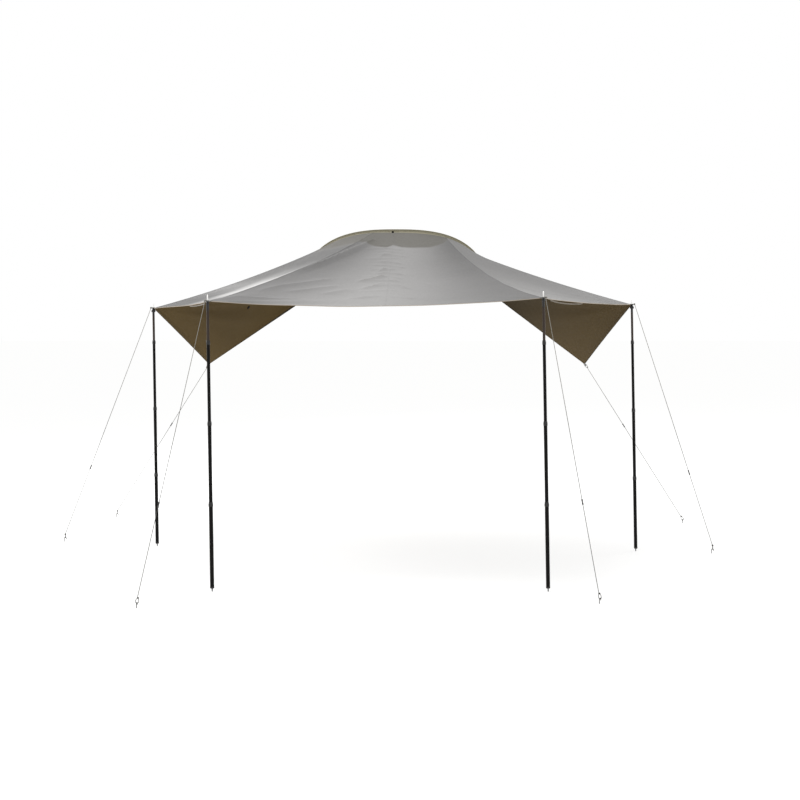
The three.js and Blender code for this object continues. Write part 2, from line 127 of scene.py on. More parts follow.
class ClothSettings(bpy.types.PropertyGroup):
    """Cloth, seams and edging."""

    thickness: length("Thickness", "Thickness of the canvas", 0.002)
    seam_width: length("Seam width", "Width of a felled seam on each side of its line", 0.0075)
    seam_rise: length("Seam rise", "How far a felled seam stands out", 0.0009)
    hem_width: length("Hem width", "Depth of the folded hem", 0.028)
    binding_width: length("Binding width", "Depth of the tape along the free edges", 0.012)
    pucker: length("Pucker", "Height of the puckers along the seams", 0.013)
    fan: length("Corner fan", "Height of the folds that spread from the corners", 0.008)
    crease: length("Crease", "Height of the creases in the front panel", 0.0125)
    # Strength of the shade and light painted into the cloth's colour, darker away from its lit
    # middle
    fade: portion("Fade", "How much darker the cloth gets away from its lit middle", 0.48)
    weave: length("Weave", "Distance between two threads", 0.0011)
    outer: colour("Outer colour", "Canvas seen from above", "8a8988")
    # Outer faces of the wings: the canopy's cloth, painted darker as shade
    shaded_wing_outer: colour("Wing outer colour", "Wings seen from outside", "6f6e6d")
    inner: colour("Inner colour", "Canvas seen from below", "4c3e24")
    binding: colour("Canopy binding", "Tape along the canopy's hems", "a09689")
    wing_binding_width: length("Wing binding width", "Depth of the tape on the wings' edges", 0.006)
    wing_binding: colour("Wing binding", "Tape along the wings' free edges", "2f291f")
    tape_width: length("Tape width", "Width of the loose tapes at the side hems", 0.009)
    tape: colour("Loose tape", "Tapes that hang below the side hems", "6d6559")
    band: colour("Arch band", "Edging band on the arch", "938e7a")
    facing_width: length("Facing width", "Depth of the tape along the arch", 0.055)
    facing: colour("Facing", "Tape that faces the canopy along the arch", "837e6b")
    # Colour of the shadow painted on the canopy below the arch
    arch_shadow: colour("Yoke", "Doubled cloth below the arch", "615f5a")


class PoleSettings(bpy.types.PropertyGroup):
    """Poles, locks, eyelets and pegs."""

    sides: whole_number("Sides", "Facets round a tube", 40, 12, 96)
    flutes: whole_number("Flutes", "Grip flutes round a lock", 12, 6, 24)
    flute_depth: length("Flute depth", "Depth of the grip flutes", 0.0008)
    tube: colour("Tube", "Anodised tubes below the first lock", "0b0a09")
    top_tube: colour("Top tube", "Worn, browner top tube", "372e28")
    lock: colour("Lock", "Moulded lock", "0c0b0b")
    steel: colour("Steel", "Pressed eyelets", "a5a6a6")
    peg_steel: colour("Peg steel", "Pegs, dulled by soil", "504f4d")
    spike: colour("Spike", "Pale coated spike", "f2f1ee")


class RopeSettings(bpy.types.PropertyGroup):
    """Guy lines, knots and runners."""

    radius: length("Radius", "Radius of the guy lines", 0.002)
    sides: whole_number("Sides", "Facets round a rope", 10, 6, 24)
    strand: length("Braid", "Length of one braid crossing", 0.004)
    rope: colour("Rope", "Braided cover", "8e8b83")
    fleck: colour("Fleck", "Darker threads in the braid", "5a5751")
    # How much darker the guy lines are drawn towards the ground
    soil: portion("Soil", "How much darker the lines get towards the ground", 0.75)
    runner: colour("Runner", "Moulded runner", "2c2b2a")


class StageSettings(bpy.types.PropertyGroup):
    """Camera, floor and light."""

    lens: real_number("Lens", "Focal length", 58.5, min=20, max=200, unit="CAMERA")
    camera_x: real_number("Camera X", "Place of the camera", 0.4394, unit="LENGTH")
    camera_y: real_number("Camera Y", "Place of the camera", -10.9512, unit="LENGTH")
    camera_z: real_number("Camera Z", "Place of the camera", 1.71, unit="LENGTH")
    floor: colour("Floor", "Plain floor", "fcfcfb")
    glow: real_number("Floor glow", "Even light of the floor", 0.62, min=0, max=1)
    sky: real_number("Sky", "Strength of the even light", 1.0, min=0, max=5)
    left_power: real_number("Left", "Power of the left light", 1250, min=0, unit="POWER")
    right_power: real_number("Right", "Power of the right light", 380, min=0, unit="POWER")
    top_power: real_number("Top", "Power of the top light", 300, min=0, unit="POWER")


# Surfaces


def bow(share):
    """Rises from 0 to 1 and falls back to 0: 4 t (1 - t)."""
    return 4 * share * (1 - share)


def smooth(value, low=0.0, high=1.0):
    """The smooth step 3t^2 - 2t^3 between low and high."""
    share = np.clip((value - low) / (high - low), 0, 1)
    return share * share * (3 - 2 * share)


def unit(vectors):
    """Vectors divided by their length."""
    return vectors / np.maximum(np.linalg.norm(vectors, axis=-1, keepdims=True), 1e-12)


def middle_of(node):
    """The middle of a node's box."""
    low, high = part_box(node)
    return (np.array(low) + np.array(high)) / 2


STRIP_LOW, STRIP_HIGH = (np.array(corner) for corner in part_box("arch_strip"))
ARCH_X = (STRIP_LOW[0] + STRIP_HIGH[0]) / 2
ARCH_HALF = (STRIP_HIGH[0] - STRIP_LOW[0]) / 2 - STRIP_REACH
ARCH_Y = STRIP_LOW[1] - TOUCH_GAP
ARCH_BASE = STRIP_LOW[2]
ARCH_RISE = STRIP_HIGH[2] - STRIP_REACH - ARCH_BASE
CORNER_POINTS = np.array([middle_of(f"{corner}_eyelet") for corner in CORNERS])


def corner_point(name):
    """The middle of a corner's eyelet."""
    return CORNER_POINTS[CORNERS.index(name)]


def arch_curve(share):
    """A superellipse of power 2.7 in the plane of the arch, from its left foot to its right one."""
    angle = np.pi * (1 - np.asarray(share, float))
    side = np.cos(angle)
    x = ARCH_X + np.sign(side) * ARCH_HALF * np.abs(side) ** (2 / ARCH_POWER)
    z = ARCH_BASE + ARCH_RISE * np.abs(np.sin(angle)) ** (2 / ARCH_POWER)
    return np.stack([x, np.full_like(x, ARCH_Y), z], axis=-1)


def hem_curve(panel, across):
    """The line between two corners, cut in towards the middle and sagging by a parabola."""
    start, end = CORNER_POINTS[panel], CORNER_POINTS[panel + 1]
    point = start + (end - start) * across[..., None]
    inward = unit(np.cross(end - start, UP))
    if inward @ (start + end) > 0:
        inward = -inward
    return point + (inward * HEM_CUTS[panel] - UP * HEM_SAGS[panel]) * bow(across)[..., None]


def fold_height(panel, across, down):
    """Cosine flutes on the canopy, and on a wing a sine fan round its outer corner."""
    if panel == FRONT_PANEL:
        return FRONT_FOLD * bow(across) * down * np.cos(2 * np.pi * FRONT_FOLDS * across)
    if panel in (LEFT_PANEL, RIGHT_PANEL):
        return SIDE_FOLD * bow(across) * bow(down) * np.cos(2 * np.pi * SIDE_FOLDS * across)
    from_ridge = 1 - across if panel == LEFT_WING else across
    turn = np.arctan2(from_ridge, 1 - down) / (np.pi / 2)
    return WING_FOLD * np.sin(np.pi * WING_FOLDS * turn) * bow(from_ridge) * bow(down)


def cloth(panel, across, down):
    """A panel's middle surface: straight lines from the arch to the hem, that sag by parabolas."""
    first, last = RIDGE_SHARES[panel], RIDGE_SHARES[panel + 1]
    rear = arch_curve(first + (last - first) * across)
    point = rear + (hem_curve(panel, across) - rear) * down[..., None]
    sag = RIDGE_SAGS[panel] + (RIDGE_SAGS[panel + 1] - RIDGE_SAGS[panel]) * across
    drop = sag * bow(down) + PANEL_DIPS[panel] * bow(across) * bow(down)
    point[..., 2] += fold_height(panel, across, down) - drop
    return point


def run_length(points, axis):
    """Distance walked along one axis of a grid of points, from 0 at its start."""
    steps = np.linalg.norm(np.diff(points, axis=axis), axis=-1)
    start = np.zeros_like(np.take(steps, [0], axis=axis))
    return np.concatenate([start, np.cumsum(steps, axis=axis)], axis=axis)


def ring(sides):
    """The angles of a full turn in even steps, with the first once more at the end."""
    return np.linspace(0, 2 * np.pi, sides + 1)


def squared_ring(sides, power):
    """Cosine and sine of a full turn, their sizes raised to a power, which squares the circle."""
    angle = ring(sides)
    return [np.sign(wave) * np.abs(wave) ** power for wave in (np.cos(angle), np.sin(angle))]


def capped(count):
    """The numbers of a row of points, the first and the last twice for the caps."""
    return np.concatenate([[0], np.arange(count), [count - 1]])


def uv_grid(across, along):
    """Pairs of map coordinates from a row of them and a column of them."""
    return np.stack(np.broadcast_arrays(across[None, :], along[:, None]), axis=-1)


def normals(point):
    """The direction square to a grid of points at each of them."""
    return unit(np.cross(np.gradient(point, axis=0), np.gradient(point, axis=1)))


def skin(name, grid, uv=None, finish=None, values=None, sharp=math.radians(40)):
    """Quads between the neighbours of a grid of points.

    Points that fall together are made one, which closes seams and poles. uv holds a pair for each
    point, finish a material number for each quad, and values named numbers for each point. Edges
    between faces that turn by more than the angle sharp show as edges.
    """
    rows, columns = grid.shape[:2]
    points = grid.reshape(-1, 3)
    _, first, back = np.unique(np.round(points, MERGE_DIGITS), axis=0, return_index=True,
                               return_inverse=True)
    back = back.ravel()
    number = np.arange(rows * columns).reshape(rows, columns)
    quads = np.stack([number[:-1, :-1], number[1:, :-1], number[1:, 1:], number[:-1, 1:]], axis=-1)
    quads = quads.reshape(-1, 4)
    slots = np.zeros(len(quads), int) if finish is None else np.asarray(finish).ravel()
    merged = back[quads]
    same = merged == np.roll(merged, -1, axis=1)
    whole = ~same.any(axis=1) & (merged[:, 0] != merged[:, 2]) & (merged[:, 1] != merged[:, 3])
    corners, material = [quads[whole]], [slots[whole]]
    for side in range(4):
        keep = same[:, side] & (same.sum(axis=1) == 1)
        corners.append(np.delete(quads[keep], (side + 1) % 4, axis=1))
        material.append(slots[keep])
    volume = 0.0
    for part in corners:
        for turn in range(1, part.shape[1] - 1):
            a, b, c = points[part[:, 0]], points[part[:, turn]], points[part[:, turn + 1]]
            volume += np.einsum("ij,ij->i", a, np.cross(b, c)).sum()
    if volume < 0:
        corners = [part[:, ::-1] for part in corners]
    mesh = bpy.data.meshes.new(name)
    faces = [face for part in corners for face in back[part].tolist()]
    mesh.from_pydata(points[first].tolist(), [], faces)
    mesh.polygons.foreach_set("material_index", np.concatenate(material).astype(np.int32))
    mesh.polygons.foreach_set("use_smooth", np.ones(len(mesh.polygons), bool))
    if uv is not None:
        order = np.concatenate([part.ravel() for part in corners])
        layer = mesh.uv_layers.new(name="UVMap")
        layer.data.foreach_set("uv", uv.reshape(-1, 2)[order].astype(np.float32).ravel())
    for key, value in (values or {}).items():
        layer = mesh.attributes.new(key, "FLOAT", "POINT")
        layer.data.foreach_set("value", value.reshape(-1)[first].astype(np.float32))
    mesh.update()
    mesh.set_sharp_from_angle(angle=sharp)
    made = bpy.data.objects.new(name, mesh)
    bpy.context.scene.collection.objects.link(made)
    return made


def settle(made, body, finishes, replaces=()):
    """Gives a piece its finishes, its body and the nodes it stands for."""
    for finish in finishes:
        made.data.materials.append(finish)
    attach(made, body)
    if replaces:
        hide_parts(*replaces)


def frame_round(axis):
    """Two directions square to an axis of length 1 and to each other."""
    side = unit(np.cross(axis, UP if abs(axis[2]) < 0.9 else np.array([1.0, 0.0, 0.0])))
    return side, np.cross(axis, side)


def lathe(name, profile, origin, axis, sides, finish=None, flute=None):
    """A profile of (radius, height) turned round an axis of length 1.

    finish holds a material number for each step of the profile; flute gives what is added to the
    radius at an angle, a height and a radius.
    """
    profile = np.array(profile, float)
    angle = ring(sides)
    side, other = frame_round(axis)
    radius = np.repeat(profile[:, :1], sides + 1, axis=1)
    if flute is not None:
        radius = radius + flute(angle[None, :], profile[:, 1:2], radius)
    around = side * np.cos(angle)[:, None] + other * np.sin(angle)[:, None]
    grid = origin + radius[..., None] * around + profile[:, 1][:, None, None] * axis
    uv = uv_grid(angle * profile[:, 0].max(), run_length(profile, 0))
    slots = None if finish is None else np.repeat(np.array(finish)[:, None], sides, axis=1)
    return skin(name, grid, uv, slots)


def mirrored(profile):
    """The upper half of a profile, followed by its mirror image below height 0."""
    return [*profile, *([radius, -height] for radius, height in reversed(profile))]


def rounded(profile, bevel, steps=3):
    """Every corner of an open profile cut by a quadratic arc that starts bevel before it."""
    profile = np.array(profile, float)
    out = [profile[:1]]
    share = np.linspace(0, 1, steps + 1)[:, None]
    for before, here, after in zip(profile[:-2], profile[1:-1], profile[2:]):
        reach = min(bevel, np.linalg.norm(here - before) / 2, np.linalg.norm(after - here) / 2)
        start, end = here + unit(before - here) * reach, here + unit(after - here) * reach
        out.append((1 - share) ** 2 * start + 2 * share * (1 - share) * here + share ** 2 * end)
    return np.concatenate([*out, profile[-1:]])


def spline(points, steps):
    """A centripetal curve through points, with that many steps between two of them."""
    points = np.asarray(points, float)
    padded = np.concatenate([[2 * points[0] - points[1]], points, [2 * points[-1] - points[-2]]])
    gaps = np.sqrt(np.linalg.norm(np.diff(padded, axis=0), axis=1))
    knots = np.concatenate([[0], np.cumsum(gaps)])
    k0, k1, k2, k3 = (knots[i:len(points) - 1 + i][:, None, None] for i in range(4))
    p0, p1, p2, p3 = (padded[i:len(points) - 1 + i][:, None, :] for i in range(4))
    k = k1 + (k2 - k1) * np.linspace(0, 1, steps, endpoint=False)[None, :, None]
    a1 = ((k1 - k) * p0 + (k - k0) * p1) / (k1 - k0)
    a2 = ((k2 - k) * p1 + (k - k1) * p2) / (k2 - k1)
    a3 = ((k3 - k) * p2 + (k - k2) * p3) / (k3 - k2)
    b1 = ((k2 - k) * a1 + (k - k0) * a2) / (k2 - k0)
    b2 = ((k3 - k) * a2 + (k - k1) * a3) / (k3 - k1)
    curve = ((k2 - k) * b1 + (k - k1) * b2) / (k2 - k1)
    return np.concatenate([curve.reshape(-1, 3), points[-1:]])


def tube(name, path, radius, sides, reference, blunt):
    """A round profile carried along a path, closed at both ends.

    reference is a direction, or one for each point, that the profile's first side keeps to; blunt
    rounds the ends off over that share of the radius.
    """
    tangent = unit(np.gradient(path, axis=0))
    reference = np.broadcast_to(reference, path.shape)
    side = unit(reference - tangent * np.einsum("ij,ij->i", reference, tangent)[:, None])
    other = np.cross(tangent, side)
    along = run_length(path, 0)
    size = np.full(len(path), radius)
    if blunt:
        turn = np.linspace(0, np.pi / 2, 5)
        start = path[0] - tangent[0] * radius * blunt * np.cos(turn)[:, None]
        end = path[-1] + tangent[-1] * radius * blunt * np.sin(turn)[:, None]
        points = np.concatenate([start, path[1:-1], end])
        size = np.concatenate([radius * np.sin(turn), size[1:-1], radius * np.cos(turn)])
        last = len(path) - 1
        repeat = np.concatenate([np.zeros(5, int), np.arange(1, last), np.full(5, last)])
    else:
        repeat = capped(len(path))
        points, size = path[repeat], size[repeat]
        size[[0, -1]] = 0
    side, other, along = side[repeat], other[repeat], along[repeat]
    angle = ring(sides)
    around = side[:, None] * np.cos(angle)[:, None] + other[:, None] * np.sin(angle)[:, None]
    grid = points[:, None] + around * size[:, None, None]
    return skin(name, grid, uv_grid(angle * radius, along))


# Finishes

# Rows of stitches beside a seam and above a hem, and their half width, pitch and drawn share
SEAM_ROWS, HEM_ROWS = (0.0022, 0.0058), (0.0115, 0.0255)
STITCH_HALF, STITCH_PITCH, STITCH_SHARE = 0.0006, 0.0042, 0.72
# Distances between which a seam's groove ends, and over which a tape's edge blurs
GROOVE_EDGES, EDGE_BLUR = (0.0016, 0.0004), 0.0006
RIB_PITCH = 0.0022
DRAWN = (1, 1, 0.02)
STRANDS = 4
# Heights between which the guy lines get darker towards the ground
DARKENING_HEIGHTS = (1.7, 0.7)
PIPING_COLOUR, TAB_COLOUR, RUBBER_COLOUR = tone("8d8873"), tone("2b2826"), tone("1a1918")
# PATCH_COLOUR also colours the dark disc that stands for shade below the arch
TOGGLE_COLOUR, PATCH_COLOUR = tone("15110d"), tone("080605")


def arithmetic(operation, turned=False):
    """A method that adds the Math node of an operation, its two sides turned round or not."""
    def method(self, *others):
        sides = (*others, self) if turned else (self, *others)
        settings, inputs = {"operation": operation}, dict(enumerate(sides))
        return self.finish.node("ShaderNodeMath", settings, inputs)[0]

    return method


class Wire:
    """A shader socket that arithmetic works on; each operation adds its Math node."""

    def __init__(self, finish, socket):
        self.finish, self.socket = finish, socket

    __add__ = __radd__ = arithmetic("ADD")
    __sub__, __rsub__ = arithmetic("SUBTRACT"), arithmetic("SUBTRACT", turned=True)
    __mul__, __truediv__ = arithmetic("MULTIPLY"), arithmetic("DIVIDE")
    __lt__, __gt__ = arithmetic("LESS_THAN"), arithmetic("GREATER_THAN")
    sine, fraction, size = arithmetic("SINE"), arithmetic("FRACT"), arithmetic("ABSOLUTE")

    def step(self, low, high):
        """0 below low and 1 above high, smoothly; low may be above high."""
        return self.finish.node("ShaderNodeMapRange", {"interpolation_type": "SMOOTHSTEP"},
                                {"Value": self, "From Min": low, "From Max": high})[0]


class Finish:
    """A material made of nodes."""

    def __init__(self, name):
        self.material = bpy.data.materials.new(name)
        self.material.use_nodes = True
        self.tree = self.material.node_tree
        self.tree.nodes.clear()

    def node(self, kind, settings=None, inputs=None):
        """Adds a node, sets its settings, then its inputs, and gives its outputs as wires."""
        node = self.tree.nodes.new(kind)
        for key, value in (settings or {}).items():
            setattr(node, key, value)
        for key, value in (inputs or {}).items():
            socket = node.inputs[key]
            if isinstance(value, Wire):
                self.tree.links.new(value.socket, socket)
            elif socket.type == "RGBA":
                socket.default_value = (*value, 1)
            else:
                socket.default_value = value
        return [Wire(self, socket) for socket in node.outputs]

    def place(self):
        """Object coordinates in metres."""
        return self.node("ShaderNodeTexCoord")[3]

    def split(self, vector):
        return self.node("ShaderNodeSeparateXYZ", inputs={0: vector})

    def uv(self):
        """The piece's own map, in metres across and along."""
        return self.split(self.node("ShaderNodeUVMap", {"uv_map": "UVMap"})[0])[:2]

    def value(self, name):
        """A number that the piece holds for each of its points."""
        return self.node("ShaderNodeAttribute", {"attribute_name": name})[2]

    def times(self, first, second):
        """The product of two vectors or colours, axis by axis."""
        settings, inputs = {"operation": "MULTIPLY"}, {0: first, 1: second}
        return self.node("ShaderNodeVectorMath", settings, inputs)[0]

    def noise(self, scale, detail, stretch=None):
        """Noise of a scale per metre, with the place times stretch on each axis."""
        place = self.place() if stretch is None else self.times(self.place(), stretch)
        inputs = {"Vector": place, "Scale": scale, "Detail": detail}
        return self.node("ShaderNodeTexNoise", inputs=inputs)[0]

    def mix(self, share, first, second):
        """One colour over into another."""
        inputs = {0: share, 6: first, 7: second}
        return self.node("ShaderNodeMix", {"data_type": "RGBA"}, inputs)[2]

    def shade(self, base, share):
        """A colour made darker or lighter by a share round 1."""
        grey = self.node("ShaderNodeCombineXYZ", inputs={0: share, 1: share, 2: share})[0]
        return self.times(base, grey)

    def bump(self, height, distance, strength, normal=None):
        """A relief whose full height is a distance, on top of another one if there is a normal."""
        inputs = {"Height": height, "Distance": distance, "Strength": strength}
        if normal is not None:
            inputs["Normal"] = normal
        return self.node("ShaderNodeBump", inputs=inputs)[0]

    def surface(self, **inputs):
        """The shader itself, with its sockets by name, underscores for spaces."""
        named = {key.replace("_", " "): value for key, value in inputs.items()}
        shader = self.node("ShaderNodeBsdfPrincipled", inputs=named)[0]
        self.node("ShaderNodeOutputMaterial", inputs={0: shader})
        return self.material


def stitches(distance, along, rows):
    """Two rows of dashes that run along an edge, each at its distance from it."""
    near, far = ((distance - row).size() < STITCH_HALF for row in rows)
    return (near + far) * ((along / STITCH_PITCH).fraction() < STITCH_SHARE)


def canvas_finish(name, settings, base, edge, width, arch_shadow=None, gloss=0.12, paints_shade=True):
    """Woven canvas: threads, tonal drift, stitched seams and hems, a bound edge of some width, and
    painted shade and light where paints_shade is set.

    With an arch shadow colour it is the canopy's outer face, with a shadow painted below the arch
    and a facing along the arch too.
    """
    finish = Finish(name)
    u, v = finish.uv()
    turn = 2 * math.pi / settings.weave
    weave = (u * turn).sine() * (v * turn).sine()
    drift, crumple = finish.noise(1.3, 4), finish.noise(14, 5)
    slub = finish.noise(90, 2, stretch=(1, 0.08, 0.3))
    seam, hem = finish.value("seam"), finish.value("hem")
    stitch = stitches(seam, v, SEAM_ROWS) + stitches(hem, u, HEM_ROWS)
    groove = (seam - settings.seam_width).size().step(*GROOVE_EDGES)
    lightness = 0.90 + drift * 0.14 + crumple * 0.06 + slub * 0.05 + weave * 0.02
    lightness = lightness * (1 - stitch * 0.14) * (1 - groove * 0.04)
    # A shadow painted below the arch
    if arch_shadow is not None:
        base = finish.mix(finish.value("arch_shadow"), base, arch_shadow)
        faced = v.step(settings.facing_width + EDGE_BLUR, settings.facing_width)
        base = finish.mix(faced, base, settings.facing)
    # Painted shade and light, held by each point, darken or lighten the colour
    if paints_shade:
        lightness = lightness * (1 - finish.value("fade"))
    bound = hem.step(width + EDGE_BLUR, width)
    shown = finish.shade(finish.mix(bound, base, edge), lightness)
    coarse = finish.bump(crumple + drift * 0.4, 0.004, 0.55)
    fine = finish.bump(weave * 0.5 + stitch * 0.7 - groove * 0.4, 0.0004, 0.7, coarse)
    return finish.surface(Base_Color=shown, Roughness=0.80 - slub * 0.12, Normal=fine,
                          Sheen_Weight=0.03, Sheen_Roughness=0.5, Specular_IOR_Level=gloss)


def webbing_finish(name, base, gloss=0.5):
    """Woven tape: ribs across its length with a little tonal drift."""
    finish = Finish(name)
    u, v = finish.uv()
    turn = 2 * math.pi / RIB_PITCH
    rib, thread = (v * turn).sine(), (u * (2 * turn)).sine()
    drift = finish.noise(25, 3)
    shown = finish.shade(base, 0.88 + drift * 0.2 + rib * 0.05)
    return finish.surface(Base_Color=shown, Roughness=0.85, Specular_IOR_Level=gloss,
                          Normal=finish.bump(rib + thread * 0.4, 0.0004, 0.8))


def metal_finish(name, base, roughness, metallic=1.0, brushed=(1, 1, 1), gloss=0.5):
    """Metal with fine lines, drawn out as brushed says, and lighter scuffs of wear."""
    finish = Finish(name)
    lines = finish.noise(900, 2, stretch=brushed)
    scuff = finish.noise(60, 5).step(0.62, 0.74)
    smudge = finish.noise(9, 3)
    shown = finish.shade(base, 0.9 + smudge * 0.16 + scuff * 0.22)
    rough = roughness + smudge * 0.12 + scuff * 0.12 + lines * 0.05 - 0.08
    return finish.surface(Base_Color=shown, Metallic=metallic, Roughness=rough,
                          Specular_IOR_Level=gloss, Normal=finish.bump(lines, 0.0001, 0.35))


def moulded_finish(name, base, roughness):
    """Moulded plastic: a fine grain and greyer high spots of slight wear."""
    finish = Finish(name)
    grain = finish.noise(1800, 2)
    wear = finish.noise(45, 4).step(0.6, 0.8)
    shown = finish.shade(base, 0.92 + wear * 0.5 + grain * 0.1)
    return finish.surface(Base_Color=shown, Roughness=roughness + wear * 0.15,
                          Normal=finish.bump(grain, 0.00012, 0.5))


def braid_finish(name, settings):
    """Braided rope: two sets of strands wound in opposite directions, with darker flecks.

    It gets darker, by the share that soil gives, from the upper of DARKENING_HEIGHTS down to the
    lower one.
    """
    finish = Finish(name)
    u, v = finish.uv()
    around = u / settings.radius
    along = v * (2 * math.pi / settings.strand)
    one, two = (around * STRANDS + along).sine(), (around * STRANDS - along).sine()
    height = one * two
    fleck = ((around + along * 0.25).sine() > 0.82) * (one > 0.1)
    dirt = finish.noise(6, 4)
    darkened = finish.split(finish.place())[2].step(*DARKENING_HEIGHTS) * settings.soil
    shown = finish.shade(finish.mix(fleck, settings.rope, settings.fleck),
                         (0.86 + dirt * 0.16 + height * 0.08) * (1 - darkened))
    return finish.surface(Base_Color=shown, Roughness=0.75, Normal=finish.bump(height, 0.0005, 0.8))


def floor_finish(settings):
    """A plain pale floor that glows by a share of its colour."""
    finish = Finish("floor")
    haze = finish.noise(0.4, 2)
    base = tuple(value * (1 - settings.glow) for value in settings.floor)
    return finish.surface(Base_Color=finish.shade(base, 0.99 + haze * 0.01), Roughness=0.9,
                          Specular_IOR_Level=0.0, Emission_Color=(1, 1, 1),
                          Emission_Strength=settings.glow)


# Cloth

# Widths over which a seam and a hem rise, and the last row's distance from the hem
SEAM_SLOPE, HEM_SLOPE, LAST_ROW = 0.0015, 0.002, 0.003


def spread(width, count, margins):
    """Shares of a width: fixed distances from both edges, and even steps between them."""
    near = margins[None, :] / width[:, None]
    far = 1 - near[:, ::-1]
    even = np.linspace(0, 1, count + 2)[None, 1:-1]
    return np.concatenate([near, near[:, -1:] + (far[:, :1] - near[:, -1:]) * even, far], axis=1)


def panel_shares(panel, first, last, count, rows, settings):
    """Shares across and down of a strip of a panel, and distances from its sides and the hem.

    first and last give the strip's two sides as shares across at a share down. Columns keep a
    fixed distance from the sides, and the last rows a fixed distance from the hem.
    """
    margins = np.array([0, settings.seam_width - SEAM_SLOPE, settings.seam_width])
    from_hem = np.array([settings.hem_width + HEM_SLOPE, settings.hem_width,
                         settings.binding_width, LAST_ROW, 0])
    nominal = np.concatenate([np.linspace(0, 1, rows + 1)[:-1], np.ones(len(from_hem))])[:, None]
    left, right = first(nominal), last(nominal)
    sample = np.linspace(0, 1, 41)
    line = cloth(panel, left + (right - left) * sample, nominal)
    width = run_length(line, 1)[:, -1]
    share = spread(width, count, margins)
    across = left + (right - left) * share
    fan = cloth(panel, sample[None, :], sample[:, None])
    depth = np.interp(across.ravel(), sample, run_length(fan, 0)[-1]).reshape(across.shape)
    down = nominal * (1 - from_hem[0] / depth)
    down[rows:] = 1 - from_hem[:, None] / depth[rows:]
    seam = np.minimum(share, 1 - share) * width[:, None]
    return across, down, seam, (1 - down) * depth


def line_distance(points, start, end):
    """Distance of plane points to a line between two points, and the share of the way along it."""
    run = end - start
    share = np.clip(((points - start) @ run) / (run @ run), 0, 1)
    return np.linalg.norm(points - start - share[..., None] * run, axis=-1), share


# Creases and long folds: height as a share, half width, and the way in thousandths across and down
CREASES = {
    FRONT_PANEL: (
        (1.2, 0.016, ((112, 110), (55, 253), (37, 375), (20, 473), (10, 580))),
        (0.7, 0.009, ((118, 98), (112, 110), (55, 253), (37, 375))),
        (-0.5, 0.030, ((150, 180), (98, 297), (80, 400), (60, 510), (45, 640))),
        (0.8, 0.040, ((40, 925), (145, 915), (245, 902))),
        (1.0, 0.045, ((45, 845), (77, 758), (158, 657), (200, 600))),
        (1.0, 0.045, ((135, 830), (210, 753), (262, 685))),
        (0.9, 0.045, ((263, 818), (325, 722))),
        (0.8, 0.030, ((395, 870), (468, 807))),
        (0.7, 0.028, ((372, 865), (432, 828))),
        (0.8, 0.030, ((512, 823), (612, 860))),
        (1.2, 0.022, ((312, 615), (362, 568), (412, 515))),
        (1.0, 0.022, ((367, 715), (440, 610))),
        (0.9, 0.020, ((440, 540), (503, 595))),
        (1.0, 0.024, ((453, 610), (510, 650), (575, 693))),
        (0.5, 0.026, ((288, 438), (378, 420))),
        (0.9, 0.018, ((355, 470), (385, 420))),
        (0.6, 0.018, ((275, 310), (312, 243))),
        (0.4, 0.055, ((620, 580), (800, 780))),
        (-0.3, 0.065, ((700, 300), (890, 560))),
    ),
    LEFT_PANEL: (
        (-0.7, 0.030, ((380, 18), (182, 128), (195, 315))),
        (0.5, 0.055, ((120, 900), (300, 560))),
        (-0.5, 0.020, ((960, 240), (900, 330), (930, 420))),
    ),
    RIGHT_PANEL: (
        (0.6, 0.055, ((150, 900), (240, 560))),
        (-0.4, 0.060, ((820, 920), (560, 620))),
    ),
}
# The part of the first fold along whose crest a highlight is painted
HIGHLIGHT_FOLD = ((125, 85), (118, 98), (112, 110), (55, 253), (37, 375))
HIGHLIGHT_HALF = 0.010
# Shares of a crease's bow between which it rises from nothing to its full height
END_FADE = (-0.3, 0.8)
# Puckers at the middle seam: share down, and height as a share
PUCKERS = (
    (0.15, 0.3), (0.19, 0.6), (0.225, 0.4), (0.262, 0.7), (0.30, 0.5), (0.345, 0.9), (0.385, 0.7),
    (0.43, 0.6), (0.475, 0.9), (0.52, 0.6), (0.575, 0.7), (0.64, 0.5), (0.71, 0.4), (0.80, 0.3),
)
PUCKER_HALF = 0.026
# Folds round the poles' eyelets, from rear left to rear right: heights as shares, and their reach
FAN_SHARES, FAN_REACH = (0.6, 0.8, 0.3, 0.5), 0.7
RIPPLE = 0.0012
# Each canopy panel's width along the arch and along its hem, and the length of all of them
PANEL_WIDTHS = {LEFT_PANEL: (0.51, 2.11), FRONT_PANEL: (0.71, 2.30), RIGHT_PANEL: (0.34, 1.89)}
PANEL_LENGTH = 4.3


def left_edge(down):
    """The share across of a panel's left edge."""
    return np.zeros_like(down)


def right_edge(down):
    """The share across of a panel's right edge."""
    return np.ones_like(down)


def centre_seam(down):
    """Share across the front panel at which its middle seam runs: a cubic in the share down."""
    return 0.213 + 0.627 * down - 0.463 * down ** 2 + 0.149 * down ** 3


def in_plane(panel, across, down):
    """Shares across and down as metres in the flat, from the panel's middle line and the arch."""
    top, hem = PANEL_WIDTHS[panel]
    return np.stack([(across - 0.5) * (top + (hem - top) * down), down * PANEL_LENGTH], axis=-1)


def broken_line(panel, thousandths):
    """The corners of a line in the flat, from thousandths across and down."""
    return [in_plane(panel, across / 1000, down / 1000) for across, down in thousandths]


def crease_height(plane, way, half):
    """A ridge that falls off exponentially beside a broken line, and dies out towards its ends."""
    best, height = np.full(plane.shape[:-1], np.inf), np.zeros(plane.shape[:-1])
    count = len(way) - 1
    for number in range(count):
        distance, place = line_distance(plane, way[number], way[number + 1])
        ends = smooth(bow((number + place) / count), *END_FADE)
        height = np.where(distance < best, np.exp(-distance / half) * ends, height)
        best = np.minimum(best, distance)
    return height


